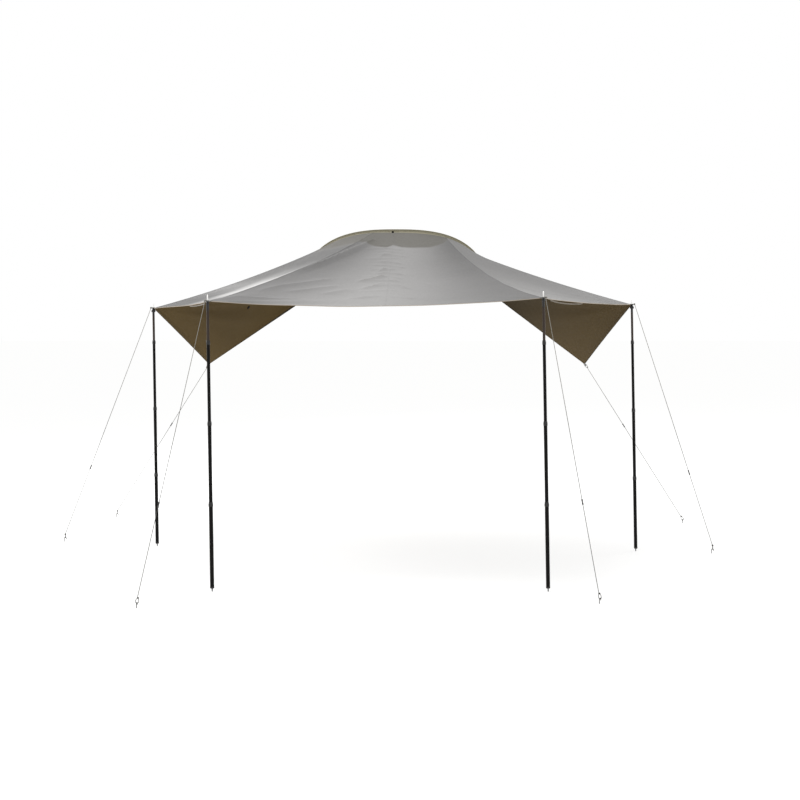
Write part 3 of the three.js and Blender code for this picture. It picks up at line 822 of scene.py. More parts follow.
def relief(panel, across, down, point, settings):
    """Finer folds, in metres along the surface's normal.

    Folds fan out from the corners as sines of the angle round each corner. Creases and the puckers
    that slant away from the middle seam are exponential ridges along short lines. All of it dies
    out at the arch and at the corners.
    """
    height = np.zeros_like(across)
    nearest = np.full_like(across, np.inf)
    for corner, share in enumerate(FAN_SHARES, 1):
        away = point - CORNER_POINTS[corner]
        distance = np.linalg.norm(away, axis=-1)
        angle = np.arctan2(away[..., 1], away[..., 0])
        ray = np.sin(11 * angle + corner) + 0.5 * np.sin(19 * angle + 2 * corner)
        fall = np.exp(-(distance / FAN_REACH) ** 1.5) * smooth(distance, 0.03, 0.30)
        height += settings.fan * share * ray * fall
        nearest = np.minimum(nearest, distance)
    plane = in_plane(panel, across, down)
    for share, half, way in CREASES[panel]:
        ridge = crease_height(plane, broken_line(panel, way), half)
        height += settings.crease * share * ridge
    if panel == FRONT_PANEL:
        for number, (place, share) in enumerate(PUCKERS):
            start = in_plane(panel, centre_seam(place), place)
            for side, reach in ((-1, 0.14), (1, 0.09)):
                reach = reach + 0.05 * math.sin(2.3 * number + side)
                slant = 0.7 * reach + 0.03 * math.sin(1.7 * number - side)
                end = start + np.array([side * reach, slant])
                ridge = crease_height(plane, (start, end), PUCKER_HALF)
                height += settings.pucker * share * ridge
    x, y = point[..., 0], point[..., 1]
    height += RIPPLE * np.sin(3.1 * x + 5.3 * y) * np.sin(6.7 * x - 2.9 * y)
    return height * smooth(down, 0, 0.06) * smooth(nearest, 0.02, 0.12)


def painted_shading(panel, across, down):
    """How much darker than its middle the cloth is painted, as shade, in smooth steps; below 0 it is
    painted lighter, as light.
    """
    # Wings: light painted on the left wing towards its hem; shade painted on the right wing,
    # strongest at its top and gone at its hem
    if panel == LEFT_WING:
        return -0.2 - 0.6 * smooth(down, 0.7, 1.0)
    if panel == RIGHT_WING:
        return 1.3 * smooth(down, 0.95, 0.2)
    # Left panel: shade painted on its upper part and its lower rear part, and a pool of light
    # painted on its lower front part
    if panel == LEFT_PANEL:
        low = 0.50 * smooth(down, 0.38, 0.55) + 0.85 * smooth(down, 0.62, 0.92)
        lit = smooth(down, 0.54, 0.71) * smooth(down, 0.98, 0.84) * smooth(across, 0.35, 0.75)
        return 1.25 * smooth(down, 0.68, 0.34) + smooth(across, 0.64, 0.36) * low - 1.3 * lit
    # Right panel: shade painted on its upper part, and lower down towards the right wing
    if panel == RIGHT_PANEL:
        return 0.80 - 0.75 * smooth(down, 0.25, 1.0) * (1 - 0.65 * smooth(across, 0.2, 0.9))
    # Front panel: shade painted towards both ridges, below the arch and a little at the front right
    left = 0.85 * smooth(across / (0.36 + 0.08 * down), 1, 0)
    right = 0.98 * smooth(across, 0.42, 1.0)
    front = 0.12 * smooth(down, 0.5, 0.9) * smooth(across, 0.5, 0.8)
    rear = 0.27 * smooth(down, 0.85, 0.2)
    plane = in_plane(panel, across, down)
    # A highlight painted along the crest of the first fold
    painted_highlight = 0.7 * crease_height(plane, broken_line(panel, HIGHLIGHT_FOLD), HIGHLIGHT_HALF)
    return left + right + front + rear - painted_highlight


# The lower edge of the shadow painted below the arch: thousandths across and down the front panel
ARCH_SHADOW_EDGE = np.array([
    (0, 140), (95, 150), (177, 175), (263, 190), (300, 158), (380, 172), (475, 170), (685, 152),
    (865, 103), (1000, 40),
]) / 1000
# Radii of the holes below the eyelets, how far their cutter reaches, and its facets
CANOPY_HOLE, WING_HOLE, HOLE_REACH, HOLE_SIDES = 0.0125, 0.0095, 0.04, 24


def sheet_skin(name, point, height, seam, hem, settings, extra):
    """A closed sheet: an outer and an inner face on both sides of a middle surface.

    The grid runs over the outer face, back over the inner face, and both ends fold onto the outer
    face, so that merging its points closes all four edges. Seams and hems stand out on both faces.
    """
    normal = normals(point)
    normal[0, :, 1] = 0
    normal = unit(normal)
    raised = np.maximum(smooth(seam, settings.seam_width, settings.seam_width - SEAM_SLOPE),
                        smooth(hem, settings.hem_width + HEM_SLOPE, settings.hem_width))
    half = settings.thickness / 2 + settings.seam_rise * raised
    outer = point + normal * (height + half)[..., None]
    inner = point + normal * (height - half)[..., None]
    u = run_length(point, 1)
    u = u - u[:, u.shape[1] // 2][:, None]
    uv = np.stack([u, run_length(point, 0)], axis=-1)

    def looped(front, back):
        return np.concatenate([front, back[:, ::-1], front[:, :1]], axis=1)

    def wrapped(front, back):
        first, last = front[:1], front[-1:]
        return np.concatenate([looped(first, first), looped(front, back), looped(last, last)])

    grid = wrapped(outer, inner)
    faces = np.ones((grid.shape[0] - 1, grid.shape[1] - 1), int)
    faces[:, :point.shape[1] - 1] = 0
    fields = {"seam": seam, "hem": hem, **extra}
    values = {key: wrapped(value, value) for key, value in fields.items()}
    return skin(name, grid, wrapped(uv, uv), faces, values, sharp=math.radians(50))


def punch(made, names, radius):
    """Cuts a round hole at each named corner, below the eyelet's flange."""
    profile = mirrored([[0, HOLE_REACH], [radius, HOLE_REACH]])
    for name in names:
        cutter = lathe("cutter", profile, corner_point(name), corner_axis(name), HOLE_SIDES)
        cut = made.modifiers.new("hole", "BOOLEAN")
        cut.object, cut.operation, cut.solver = cutter, "DIFFERENCE", "EXACT"
        graph = bpy.context.evaluated_depsgraph_get()
        mesh = bpy.data.meshes.new_from_object(made.evaluated_get(graph))
        made.modifiers.clear()
        old, made.data = made.data, mesh
        bpy.data.meshes.remove(old)
        mesh.name = made.name
        bpy.data.objects.remove(cutter)


def corner_axis(name):
    """The direction an eyelet faces: up at the poles, square to the cloth at the wing tips."""
    if not name.startswith("wing"):
        return UP
    panel, across = (LEFT_WING, 0.0) if name == "wing_left" else (RIGHT_WING, 0.998)
    step = 0.001
    shares = np.array([across, across + step, across]), np.array([1 - step, 1 - step, 1.0])
    here, sideways, downwards = cloth(panel, *shares)
    return unit(np.cross(downwards - here, sideways - here))


def peg_spot(name):
    """Where a peg stands, from its corner and its shares of the corner height."""
    corner = corner_point(name)
    out, back, _ = GUY_SHARES[name]
    side = -1 if name.endswith("left") else 1
    return np.array([corner[0] + side * out * CORNER_HEIGHT, corner[1] + back * CORNER_HEIGHT, 0.0])


CANOPY_ROWS = 250
# Strips of the canopy: panel, left side, right side, columns
CANOPY_STRIPS = (
    (LEFT_PANEL, left_edge, right_edge, 30),
    (FRONT_PANEL, left_edge, centre_seam, 48),
    (FRONT_PANEL, centre_seam, right_edge, 46),
    (RIGHT_PANEL, left_edge, right_edge, 24),
)
# The share of a side panel's width over which its folds die out at the wing
SIDE_FADE = 0.05
# Grid of a wing, and the heights of its fan of folds and of its ripples
WING_COLUMNS, WING_ROWS, WING_FAN, WING_RIPPLE = 60, 70, 0.004, 0.002
# How far the wing's cloth lies below the toggle's axis, and the width of its bump there
TOGGLE_SEAT, SEAT_REACH = 0.0066, 0.08
# The arch band: steps along it, step for its heading, facets and power of its section
ARCH_STEPS, ARCH_STEP, BAND_SIDES, BAND_POWER = 160, 0.0005, 24, 0.55
# Piping: radius, distances from the band's outer edge and before the arch, and facets
PIPING_RADIUS, PIPING_INSET, PIPING_FRONT, PIPING_SIDES = 0.0026, 0.0045, 0.0012, 12
# Loose tapes: steps, facets, power and half width of the section, and distance below the hem
TAPE_STEPS, TAPE_SIDES, TAPE_POWER, TAPE_HALF, TAPE_GAP = 80, 12, 0.5, 0.0007, 0.0022
# Loose tapes: name, panel, shares across at which they start and end, and how deep they hang
LOOSE_TAPES = (
    ("right", RIGHT_PANEL, 0.10, 0.50, 0.012),
    ("left", LEFT_PANEL, 0.55, 0.90, 0.006),
)
# Eyelets: hole, flange radius, half thickness, and how far the tab reaches beyond the flange
WING_EYELET, POLE_EYELET = (0.007, 0.014, 0.0025, 0.006), (0.0065, 0.018, 0.003, 0.008)
TAB_HALF, EYELET_SIDES = 0.0014, 48


def canopy_grid(settings):
    """The canopy's whole grid of points, from its left wing seam to its right one."""
    made = []
    for panel, first, last, count in CANOPY_STRIPS:
        across, down, seam, hem = panel_shares(panel, first, last, count, CANOPY_ROWS, settings)
        point = cloth(panel, across, down)
        height = relief(panel, across, down, point, settings)
        # The shadow painted below the arch, on the left and front panels
        arch_shadow = np.zeros_like(across)
        if panel == LEFT_PANEL:
            height *= smooth(across, 0, SIDE_FADE)
            arch_shadow = smooth(0.17 * smooth(across, -0.6, 0.7) - down, -0.05, 0.03)
        elif panel == FRONT_PANEL:
            seam = np.where(np.abs(across - centre_seam(down)) < 0.1, 2 * seam, seam)
            edge = np.interp(across.ravel(), *ARCH_SHADOW_EDGE.T).reshape(across.shape)
            arch_shadow = smooth(edge - down, -0.008, 0.008)
        else:
            height *= smooth(1 - across, 0, SIDE_FADE)
        # Painted shade and light, weaker inside the shadow painted below the arch
        fade = settings.fade * painted_shading(panel, across, down) * (1 - 0.7 * arch_shadow)
        start = 1 if made else 0
        made.append([part[:, start:] for part in (point, height, seam, hem, arch_shadow, fade)])
    return [np.concatenate(parts, axis=1) for parts in zip(*made)]


class AWNING_OT_canopy(bpy.types.Operator):
    """One continuous canopy of four gores, with its seams, hems, folds and creases, and painted
    shade and light.
    """

    bl_idname = "awning.canopy"
    bl_label = "Canopy"

    def execute(self, context):
        settings = context.scene.awning_cloth
        point, height, seam, hem, arch_shadow, fade = canopy_grid(settings)
        made = sheet_skin("canopy_cloth", point, height, seam, hem, settings,
                          {"arch_shadow": arch_shadow, "fade": fade})
        punch(made, POLES, CANOPY_HOLE)
        edge, width = settings.binding, settings.binding_width
        outer = canvas_finish("canvas_outer", settings, settings.outer, edge, width, settings.arch_shadow)
        inner = canvas_finish("canvas_inner", settings, settings.inner, edge, width, gloss=0.04,
                              paints_shade=False)
        settle(made, "root", (outer, inner),
               ("left_canopy_panel", "front_canopy_panel", "right_canopy_panel"))
        return {"FINISHED"}


def toggle_seat(point, height):
    """Lays the cloth TOGGLE_SEAT below the toggle's axis, by a round bump that dies out."""
    toggle = middle_of("left_wing_toggle")
    away = np.linalg.norm(point - toggle, axis=-1)
    nearest = np.unravel_index(np.argmin(away), away.shape)
    depth = (point[nearest] - toggle) @ normals(point)[nearest] + height[nearest]
    return (TOGGLE_SEAT - depth) * np.exp(-(away / SEAT_REACH) ** 2)


class AWNING_OT_wings(bpy.types.Operator):
    """The two rear wings, grey outside and olive brown inside, with painted shade and light and a
    dark bound edge.
    """

    bl_idname = "awning.wings"
    bl_label = "Wings"

    def execute(self, context):
        settings = context.scene.awning_cloth
        edge, width = settings.wing_binding, settings.wing_binding_width
        # The wings' outer faces take the darker colour painted as shade, without the painted shade
        # and light of each point
        outer = canvas_finish("shaded_wing_outer", settings, settings.shaded_wing_outer, edge, width, paints_shade=False)
        inner = canvas_finish("wing_inner", settings, settings.inner, edge, width, gloss=0.04)
        for side, panel in (("left", LEFT_WING), ("right", RIGHT_WING)):
            across, down, seam, hem = panel_shares(panel, left_edge, right_edge, WING_COLUMNS,
                                                   WING_ROWS, settings)
            point = cloth(panel, across, down)
            free = across if panel == LEFT_WING else 1 - across
            hem = np.minimum(hem, free * run_length(point, 1)[:, -1:])
            seam = np.where(free < 0.5, 1.0, seam)
            fan = np.sin(22 * np.arctan2(1 - free, 1 - down) + 0.7)
            ripple = np.sin(9 * point[..., 0] + 4 * point[..., 2])
            height = (WING_FAN * fan + WING_RIPPLE * ripple) * bow(free) * bow(down)
            if panel == LEFT_WING:
                height += toggle_seat(point, height)
            # Painted shade and light on the wings' inner faces
            fade = settings.fade * painted_shading(panel, across, down)
            made = sheet_skin(f"{side}_wing_cloth", point, height, seam, hem, settings,
                              {"fade": fade})
            punch(made, (f"wing_{side}",), WING_HOLE)
            settle(made, "root", (outer, inner), (f"{side}_wing",))
        return {"FINISHED"}


class AWNING_OT_arch(bpy.types.Operator):
    """The edging band on the arch, with a round piping along its outer edge."""

    bl_idname = "awning.arch"
    bl_label = "Arch band"

    def execute(self, context):
        settings = context.scene.awning_cloth
        share = (1 - np.cos(np.linspace(0, np.pi, ARCH_STEPS + 1))) / 2
        centre = arch_curve(share)
        ahead, behind = np.minimum(share + ARCH_STEP, 1), np.maximum(share - ARCH_STEP, 0)
        heading = unit(arch_curve(ahead) - arch_curve(behind))
        outward = np.stack([-heading[:, 2], np.zeros(len(share)), heading[:, 0]], axis=-1)
        wide, deep = squared_ring(BAND_SIDES, BAND_POWER)
        across = (STRIP_REACH - STRIP_INNER) / 2 + (STRIP_REACH + STRIP_INNER) / 2 * wide
        depth = STRIP_DEPTH / 2 * (1 + deep) + TOUCH_GAP
        caps = capped(len(share))
        grid = (centre[:, None] + outward[:, None] * across[:, None] + BACK * depth[:, None])[caps]
        grid[0], grid[-1] = grid[0].mean(axis=0), grid[-1].mean(axis=0)
        band = skin("arch_band", grid, uv_grid(across, run_length(centre, 0)[caps]))
        webbing = webbing_finish("band_webbing", settings.band)
        settle(band, "root", (webbing,), ("arch_strip",))
        route = centre + outward * (STRIP_REACH - PIPING_INSET) - BACK * PIPING_FRONT
        piping = tube("arch_piping", route, PIPING_RADIUS, PIPING_SIDES, BACK, blunt=0.6)
        settle(piping, "root", (webbing_finish("piping_cloth", PIPING_COLOUR),))
        return {"FINISHED"}


class AWNING_OT_tapes(bpy.types.Operator):
    """The tapes that have come loose from the side hems and hang below them in shallow loops."""

    bl_idname = "awning.tapes"
    bl_label = "Hem tapes"

    def execute(self, context):
        settings = context.scene.awning_cloth
        tape = webbing_finish("tape_webbing", settings.tape)
        share = np.linspace(0, 1, TAPE_STEPS + 1)
        caps = capped(len(share))
        wide, tall = squared_ring(TAPE_SIDES, TAPE_POWER)
        wide, tall = TAPE_HALF * wide, settings.tape_width / 2 * tall
        for name, panel, start, end, hang in LOOSE_TAPES:
            line = hem_curve(panel, start + (end - start) * share)
            line -= UP * (TAPE_GAP + settings.tape_width / 2 + hang * bow(share) ** 0.7)[:, None]
            side = unit(np.cross(np.gradient(line, axis=0), UP))
            grid = (line[:, None] + UP * tall[:, None] + side[:, None] * wide[:, None])[caps]
            grid[0], grid[-1] = line[0], line[-1]
            uv = uv_grid(tall, run_length(line, 0)[caps])
            settle(skin(f"{name}_hem_tape", grid, uv), "root", (tape,))
        return {"FINISHED"}


class AWNING_OT_eyelets(bpy.types.Operator):
    """Pressed eyelets with rolled flanges, each on a rounded webbing tab."""

    bl_idname = "awning.eyelets"
    bl_label = "Eyelets"

    def execute(self, context):
        settings = context.scene.awning_poles
        steel = metal_finish("eyelet_steel", settings.steel, 0.34)
        tab_finish = webbing_finish("tab_webbing", TAB_COLOUR)
        for name in CORNERS:
            hole, radius, half, hang = WING_EYELET if name.startswith("wing") else POLE_EYELET
            inner = hole + 0.0002
            profile = rounded(mirrored([
                [inner, 0], [inner, half], [hole + 0.0035, half], [radius - 0.002, half - 0.0014],
                [radius, half - 0.0016],
            ]), 0.0012, 4)
            corner, axis = corner_point(name), corner_axis(name)
            made = lathe(f"{name}_grommet", profile, corner, axis, EYELET_SIDES)
            settle(made, "root", (steel,), (f"{name}_eyelet",))
            inner, half = hole + 0.004, TAB_HALF
            tab = rounded(mirrored([[inner, 0], [inner, half], [radius + hang, half]]), 0.0008)
            patch = lathe(f"{name}_tab", tab, corner, axis, EYELET_SIDES)
            settle(patch, "root", (tab_finish,))
        return {"FINISHED"}


# Poles

# Tubes from the foot up; the photo shows them 1.3 to 1.6 mm thicker than the solids have them
TUBE_RADII = (0.0138, 0.0125, 0.0111, 0.0093)
TUBE_WALL, TUBE_OVERLAP, TOP_TUBE = 0.001, 0.060, 0.600
FOOT_REACH, TOP_SHOW, FOOT_DRIFT = 0.595, 0.278, 0.032
TUBE_TOPS = [FOOT_REACH + (CORNER_HEIGHT - FOOT_REACH - TOP_SHOW) / 2 * step for step in range(3)]
# Heights of the rubber foot's top and of the tube's bottom inside it
BOOT_TOP, FOOT_PLUG = 0.0342, 0.04
DOME = 0.011
EYELET_HOLE, EYELET_HALF = POLE_EYELET[0], POLE_EYELET[2]
DOME_SEAT = math.sqrt((DOME + TOUCH_GAP) ** 2 - EYELET_HOLE ** 2)
# Spikes: reach above the eyelet, radius, and radius of the tip; rear caps: radius and depth
SPIKE_REACH, SPIKE_RADIUS, SPIKE_TIP = 0.046, 0.004, 0.0022
REAR_CAP = (0.0165, 0.019)
# Locks: reach below and above a tube's end, wall, and clearance to the tubes
COLLAR_SKIRT, COLLAR_LIP, COLLAR_WALL, COLLAR_GAP = 0.017, 0.013, 0.0014, 0.0004


def pole_line(name):
    """A pole's head at its dome, its foot, and the direction up it."""
    head = corner_point(name) - UP * (EYELET_HALF + DOME_SEAT)
    foot = np.array([head[0] + FOOT_DRIFT, head[1], 0.0])
    return head, foot, unit(head - foot)


def top_profile(name):
    """Spike, dome, cap and top tube round the head, with material numbers; rear caps are wider."""
    radius = TUBE_RADII[3]
    inner = radius - TUBE_WALL
    turn = np.linspace(math.asin(SPIKE_RADIUS / DOME), math.pi / 2, 9)
    dome = np.stack([DOME * np.sin(turn), DOME * np.cos(turn)], axis=-1)
    tip = DOME_SEAT + EYELET_HALF + SPIKE_REACH
    spike = rounded([[0, tip], [SPIKE_TIP, tip], [SPIKE_RADIUS, tip - 0.008],
                     [SPIKE_RADIUS, tip - 0.02], [SPIKE_RADIUS, dome[0, 1] + 0.0005]], 0.0012)
    cap, drop = REAR_CAP if name.startswith("rear") else (DOME, DOME)
    collar = rounded([[DOME, -0.001], [cap, -0.0045], [cap, -drop],
                      [radius + 0.0002, -drop - 0.001], [radius, -drop - 0.002]], 0.0008)
    body = np.array([[radius, -0.05], [radius, -0.15], [radius, -0.3], [radius, -TOP_TUBE],
                     [inner, -TOP_TUBE], [inner, -DOME - TUBE_WALL], [0, -DOME - TUBE_WALL]])
    slots = [2] * len(spike) + [1] * (len(dome) + len(collar)) + [0] * (len(body) - 1)
    return np.concatenate([spike, dome, collar, body]), slots


def middle_profile(number):
    """An open tube, from its overlap with the one below to its own top."""
    radius = TUBE_RADII[number]
    inner = radius - TUBE_WALL
    low, high = TUBE_TOPS[number - 1] - TUBE_OVERLAP, TUBE_TOPS[number]
    middle = [inner, (low + high) / 2]
    return rounded([middle, [inner, high], [radius, high], [radius, low], [inner, low], middle],
                   0.0004), None


def foot_profile():
    """The lowest tube and its tapered rubber foot, with material numbers."""
    radius = TUBE_RADII[0]
    inner, boot = radius - TUBE_WALL, radius + 0.0006
    outside = rounded([
        [inner, TUBE_TOPS[0]], [radius, TUBE_TOPS[0]], [radius, 0.034], [boot, 0.0335],
        [boot, 0.024], [0.0105, 0.0215], [0.0045, 0.0205], [0.004, 0.012], [0.0028, 0.001],
        [0.0016, 0.0], [0, 0],
    ], 0.0012)
    slots = [0, 0, *(int(height < BOOT_TOP) for height in outside[:-1, 1])]
    return np.concatenate([[[0, FOOT_PLUG], [inner, FOOT_PLUG]], outside]), slots


class AWNING_OT_poles(bpy.types.Operator):
    """Four telescopic poles: spike, dome, four tubes and a tapered foot."""

    bl_idname = "awning.poles"
    bl_label = "Poles"

    def execute(self, context):
        settings = context.scene.awning_poles
        tube_metal = metal_finish("pole_tube_metal", settings.tube, 0.46, 0.15, DRAWN, 0.12)
        top_metal = metal_finish("pole_top_metal", settings.top_tube, 0.45, 0.4, DRAWN, 0.3)
        dome_plastic = moulded_finish("dome_plastic", settings.lock, 0.42)
        spike_metal = metal_finish("spike_metal", settings.spike, 0.4, 0.1, DRAWN)
        foot_rubber = moulded_finish("foot_rubber", RUBBER_COLOUR, 0.72)
        for name in POLES:
            head, foot, axis = pole_line(name)
            for part, base, (profile, slots), finishes in (
                ("top", head, top_profile(name), (top_metal, dome_plastic, spike_metal)),
                ("upper", foot, middle_profile(2), (tube_metal,)),
                ("lower", foot, middle_profile(1), (tube_metal,)),
                ("foot", foot, foot_profile(), (tube_metal, foot_rubber)),
            ):
                made = lathe(f"{name}_{part}_section", profile, base, axis, settings.sides, slots)
                node = f"{name}_pole_{part}_tube"
                settle(made, node, finishes, (node,))
        return {"FINISHED"}


def lock_shape(number, settings):
    """The profile of a lock round the top of a tube, and the flutes of its grip."""
    end = TUBE_TOPS[number]
    bore, lip = TUBE_RADII[number] + COLLAR_GAP, TUBE_RADII[number + 1] + COLLAR_GAP
    outer = bore + COLLAR_WALL + COLLAR_GAP
    low, high = end - COLLAR_SKIRT, end + COLLAR_LIP
    seat = end + TOUCH_GAP

    def flute(angle, height, radius):
        """Rounded grooves round the grip, that die out at its ends."""
        above = smooth(height, low + 0.002, low + 0.005)
        below = smooth(-height, -end + 0.001, -end + 0.005)
        wave = np.abs(np.sin(settings.flutes * angle / 2)) ** 0.6
        return -settings.flute_depth * (1 - wave) * above * below * (radius > outer - 0.0009)

    grip = np.linspace(end - 0.001, low + 0.002, 9)
    profile = np.concatenate([
        rounded([[lip, seat], [lip, high], [outer - 0.002, high], [outer - 0.0004, end + 0.002],
                 [outer, end + 0.0005]], 0.0008),
        np.stack([np.full(len(grip), outer), grip], axis=-1),
        rounded([[outer, low + 0.001], [outer - 0.0008, low], [bore, low], [bore, seat],
                 [lip, seat]], 0.0003),
    ])
    return profile, flute


class AWNING_OT_locks(bpy.types.Operator):
    """Twist locks with grip flutes and a chamfered lip."""

    bl_idname = "awning.locks"
    bl_label = "Locks"

    def execute(self, context):
        settings = context.scene.awning_poles
        plastic = moulded_finish("lock_plastic", settings.lock, 0.46)
        for name in POLES:
            _, foot, axis = pole_line(name)
            for number, part in enumerate(("foot", "lower", "upper")):
                profile, flute = lock_shape(number, settings)
                made = lathe(f"{name}_{part}_twist_lock", profile, foot, axis, settings.flutes * 8,
                             flute=flute)
                node = f"{name}_pole_{part}_lock"
                settle(made, node, (plastic,), (node,))
        return {"FINISHED"}


# Guy lines

# Pegs: radius of the wire, radius of the bend, height of the leg, drop of the hook, and facets
PEG_RADIUS, PEG_BEND, PEG_LEG, PEG_DROP, PEG_SIDES = 0.0025, 0.009, 0.026, 0.008, 20
# An eye in its plane, towards the line and across, and where the line goes on from it
EYE_POINTS = np.array([
    [23, 4], [9, 9.5], [-5, 9.5], [-11, 4.5], [-11, -4.5], [-5, -9.5], [9, -9], [22, -2],
]) / 1000
# Reach of an eye behind its origin, leads of the curve beyond it, and run without any twist
EYE_REACH, EYE_LEADS, EYE_BLEND = 0.011, (0.014, 0.032, 0.06), 0.08
# Radius of the lines in the solids
ROPE_CAD = 0.002
# Knots: radius, length, turns and steps of the helix, and radius and facets of its rope
KNOT_RADIUS, KNOT_LENGTH, KNOT_TURNS, KNOT_STEPS = 0.0052, 0.0095, 3, 59
KNOT_ROPE, KNOT_SIDES = 0.0019, 8
# Runners: half length, rim, facets, and their shares of the way down a wing's and a pole's line
RUNNER_HALF, RUNNER_RIM, RUNNER_SIDES = 0.019, 0.007, 32
WING_RUNNER, POLE_RUNNER = 0.39, 0.7
# The shares across and down the front panel of the dark disc that stands for the shade at the top of
# the middle seam, and how far patch and disc clear the cloth
SHADE_DISC_SHARES, DISC_GAP = (0.230, 0.016), 0.0001
# Camera, floor and lights
SENSOR_WIDTH, LENS_SHIFT, CLIP_END = 36, (-0.05625, -0.075), 5000
FLOOR_RINGS, FLOOR_GAP = (0.0, 10, 50, 300, 3000), 0.0002
LIGHT_TARGET = (0, 0, 2.0)


def eye_frame(name):
    """Origin, direction towards the line and direction across, of an upper eye."""
    corner = corner_point(name)
    towards = peg_spot(name) - corner
    if name.startswith("wing"):
        normal = corner_axis(name)
        towards = unit(towards - normal * (towards @ normal))
        rim = WING_EYELET[0] * math.cos(math.pi / 16)
        return corner + towards * (rim + EYE_REACH - ROPE_CAD - TOUCH_GAP), towards, normal
    towards = unit(towards * np.array([1, 1, 0]))
    return corner + UP * (EYELET_HALF + TOUCH_GAP + ROPE_CAD), towards, np.cross(UP, towards)


def peg_heading(name):
    """The direction that a peg's hook points."""
    turn = math.pi * GUY_SHARES[name][2]
    return np.array([math.cos(turn), math.sin(turn), 0.0])


def lower_frame(name, line_top):
    """Origin, direction towards the line and direction across, of the eye on a peg."""
    crown = peg_spot(name) + UP * (PEG_LEG + PEG_BEND)
    heading = peg_heading(name)
    towards = line_top - crown
    towards = unit(towards - heading * (towards @ heading))
    origin = crown + towards * (EYE_REACH - ROPE_CAD - TOUCH_GAP - PEG_RADIUS)
    return origin, towards, np.cross(heading, towards)


def eye_at(origin, towards, across):
    """The eight points of an eye in its plane."""
    return origin + EYE_POINTS[:, :1] * towards + EYE_POINTS[:, 1:] * across


def guy_route(name):
    """The rope's line from its upper to its lower tail, and what it hangs on.

    That is a direction beside it at each point, its two eye frames and its straight part's ends.
    """
    upper = eye_frame(name)
    top_eye = eye_at(*upper)
    lower = lower_frame(name, top_eye[-1])
    low_eye = eye_at(*lower)
    top, bottom = top_eye[-1], low_eye[-1]
    heading = unit(bottom - top)
    leads = np.array(EYE_LEADS)[:, None]
    start = spline(np.concatenate([top_eye, top + heading * leads]), 6)
    end = spline(np.concatenate([low_eye, bottom - heading * leads]), 6)[::-1]
    last = EYE_LEADS[-1]
    run = np.linspace(last, np.linalg.norm(bottom - top) - last, 50)[1:-1, None]
    route = np.concatenate([start, top + heading * run, end])
    along = run_length(route, 0)
    share = smooth(along, EYE_BLEND, along[-1] - EYE_BLEND)[:, None]
    upper_normal, lower_normal = np.cross(*upper[1:]), np.cross(*lower[1:])
    if upper_normal @ lower_normal < 0:
        lower_normal = -lower_normal
    return route, upper_normal * (1 - share) + lower_normal * share, upper, lower, top, bottom


def knot_route(origin, towards, across, leave):
    """Three close turns of a helix where an eye closes, round a rope and its tail, and its axis."""
    turn = np.linspace(0, 2 * np.pi * KNOT_TURNS, KNOT_STEPS + 1)
    axis = unit(towards + leave * 0.6)
    side = unit(across - axis * (across @ axis))
    other = np.cross(axis, side)
    centre = origin + towards * 0.0195 + across * 0.0012
    helix = centre + axis * (turn / turn[-1] * KNOT_LENGTH - 0.002)[:, None]
    around = side * np.cos(turn)[:, None] + other * np.sin(turn)[:, None]
    return helix + KNOT_RADIUS * around, axis


class AWNING_OT_ropes(bpy.types.Operator):
    """Six braided guy lines with an eye at each end, each closed by a wound knot."""

    bl_idname = "awning.ropes"
    bl_label = "Guy lines"

    def execute(self, context):
        settings = context.scene.awning_ropes
        braid = braid_finish("rope_braid", settings)
        moulded = moulded_finish("runner_plastic", settings.runner, 0.42)
        half, rim = RUNNER_HALF, RUNNER_RIM
        bore = ROPE_CAD + TOUCH_GAP + 0.0002
        profile = rounded(mirrored([
            [bore, 0], [bore, half], [0.0052, half], [0.0055, half - rim], [0.0043, half - 2 * rim],
        ]), 0.0016, 4)
        for name in CORNERS:
            route, reference, upper, lower, top, bottom = guy_route(name)
            rope = tube(f"{name}_rope", route, settings.radius, settings.sides, reference,
                        blunt=0.5)
            settle(rope, "root", (braid,), (f"{name}_guy_line",))
            heading = unit(bottom - top)
            for where, eye, leave in (("upper", upper, heading), ("lower", lower, -heading)):
                helix, axis = knot_route(*eye, leave)
                knot = tube(f"{name}_{where}_knot", helix, KNOT_ROPE, KNOT_SIDES, axis, blunt=0.8)
                settle(knot, "root", (braid,))
            share = WING_RUNNER if name.startswith("wing") else POLE_RUNNER
            place = top + (bottom - top) * share
            runner = lathe(f"{name}_slider", profile, place, -heading, RUNNER_SIDES)
            node = f"{name}_guy_runner"
            settle(runner, node, (moulded,), (node,))
        return {"FINISHED"}


class AWNING_OT_pegs(bpy.types.Operator):
    """Six bent steel pegs whose hooks hold the lower eyes."""

    bl_idname = "awning.pegs"
    bl_label = "Pegs"

    def execute(self, context):
        steel = metal_finish("peg_steel", context.scene.awning_poles.peg_steel, 0.45)
        turn = np.linspace(np.pi, 0, 25)
        hook_end = PEG_LEG - PEG_DROP
        leg, hook = np.linspace(0.0, PEG_LEG, 8)[:-1], np.linspace(PEG_LEG, hook_end, 5)[1:]
        height = np.concatenate([leg, PEG_LEG + PEG_BEND * np.sin(turn), hook])[:, None]
        aside = np.concatenate([np.full_like(leg, -1), np.cos(turn), np.ones_like(hook)])[:, None]
        for name in CORNERS:
            heading = peg_heading(name)
            route = peg_spot(name) + heading * PEG_BEND * aside + UP * height
            made = tube(f"{name}_hook_peg", route, PEG_RADIUS, PEG_SIDES, np.cross(heading, UP),
                        blunt=0)
            settle(made, "root", (steel,), (f"{name}_peg",))
        return {"FINISHED"}


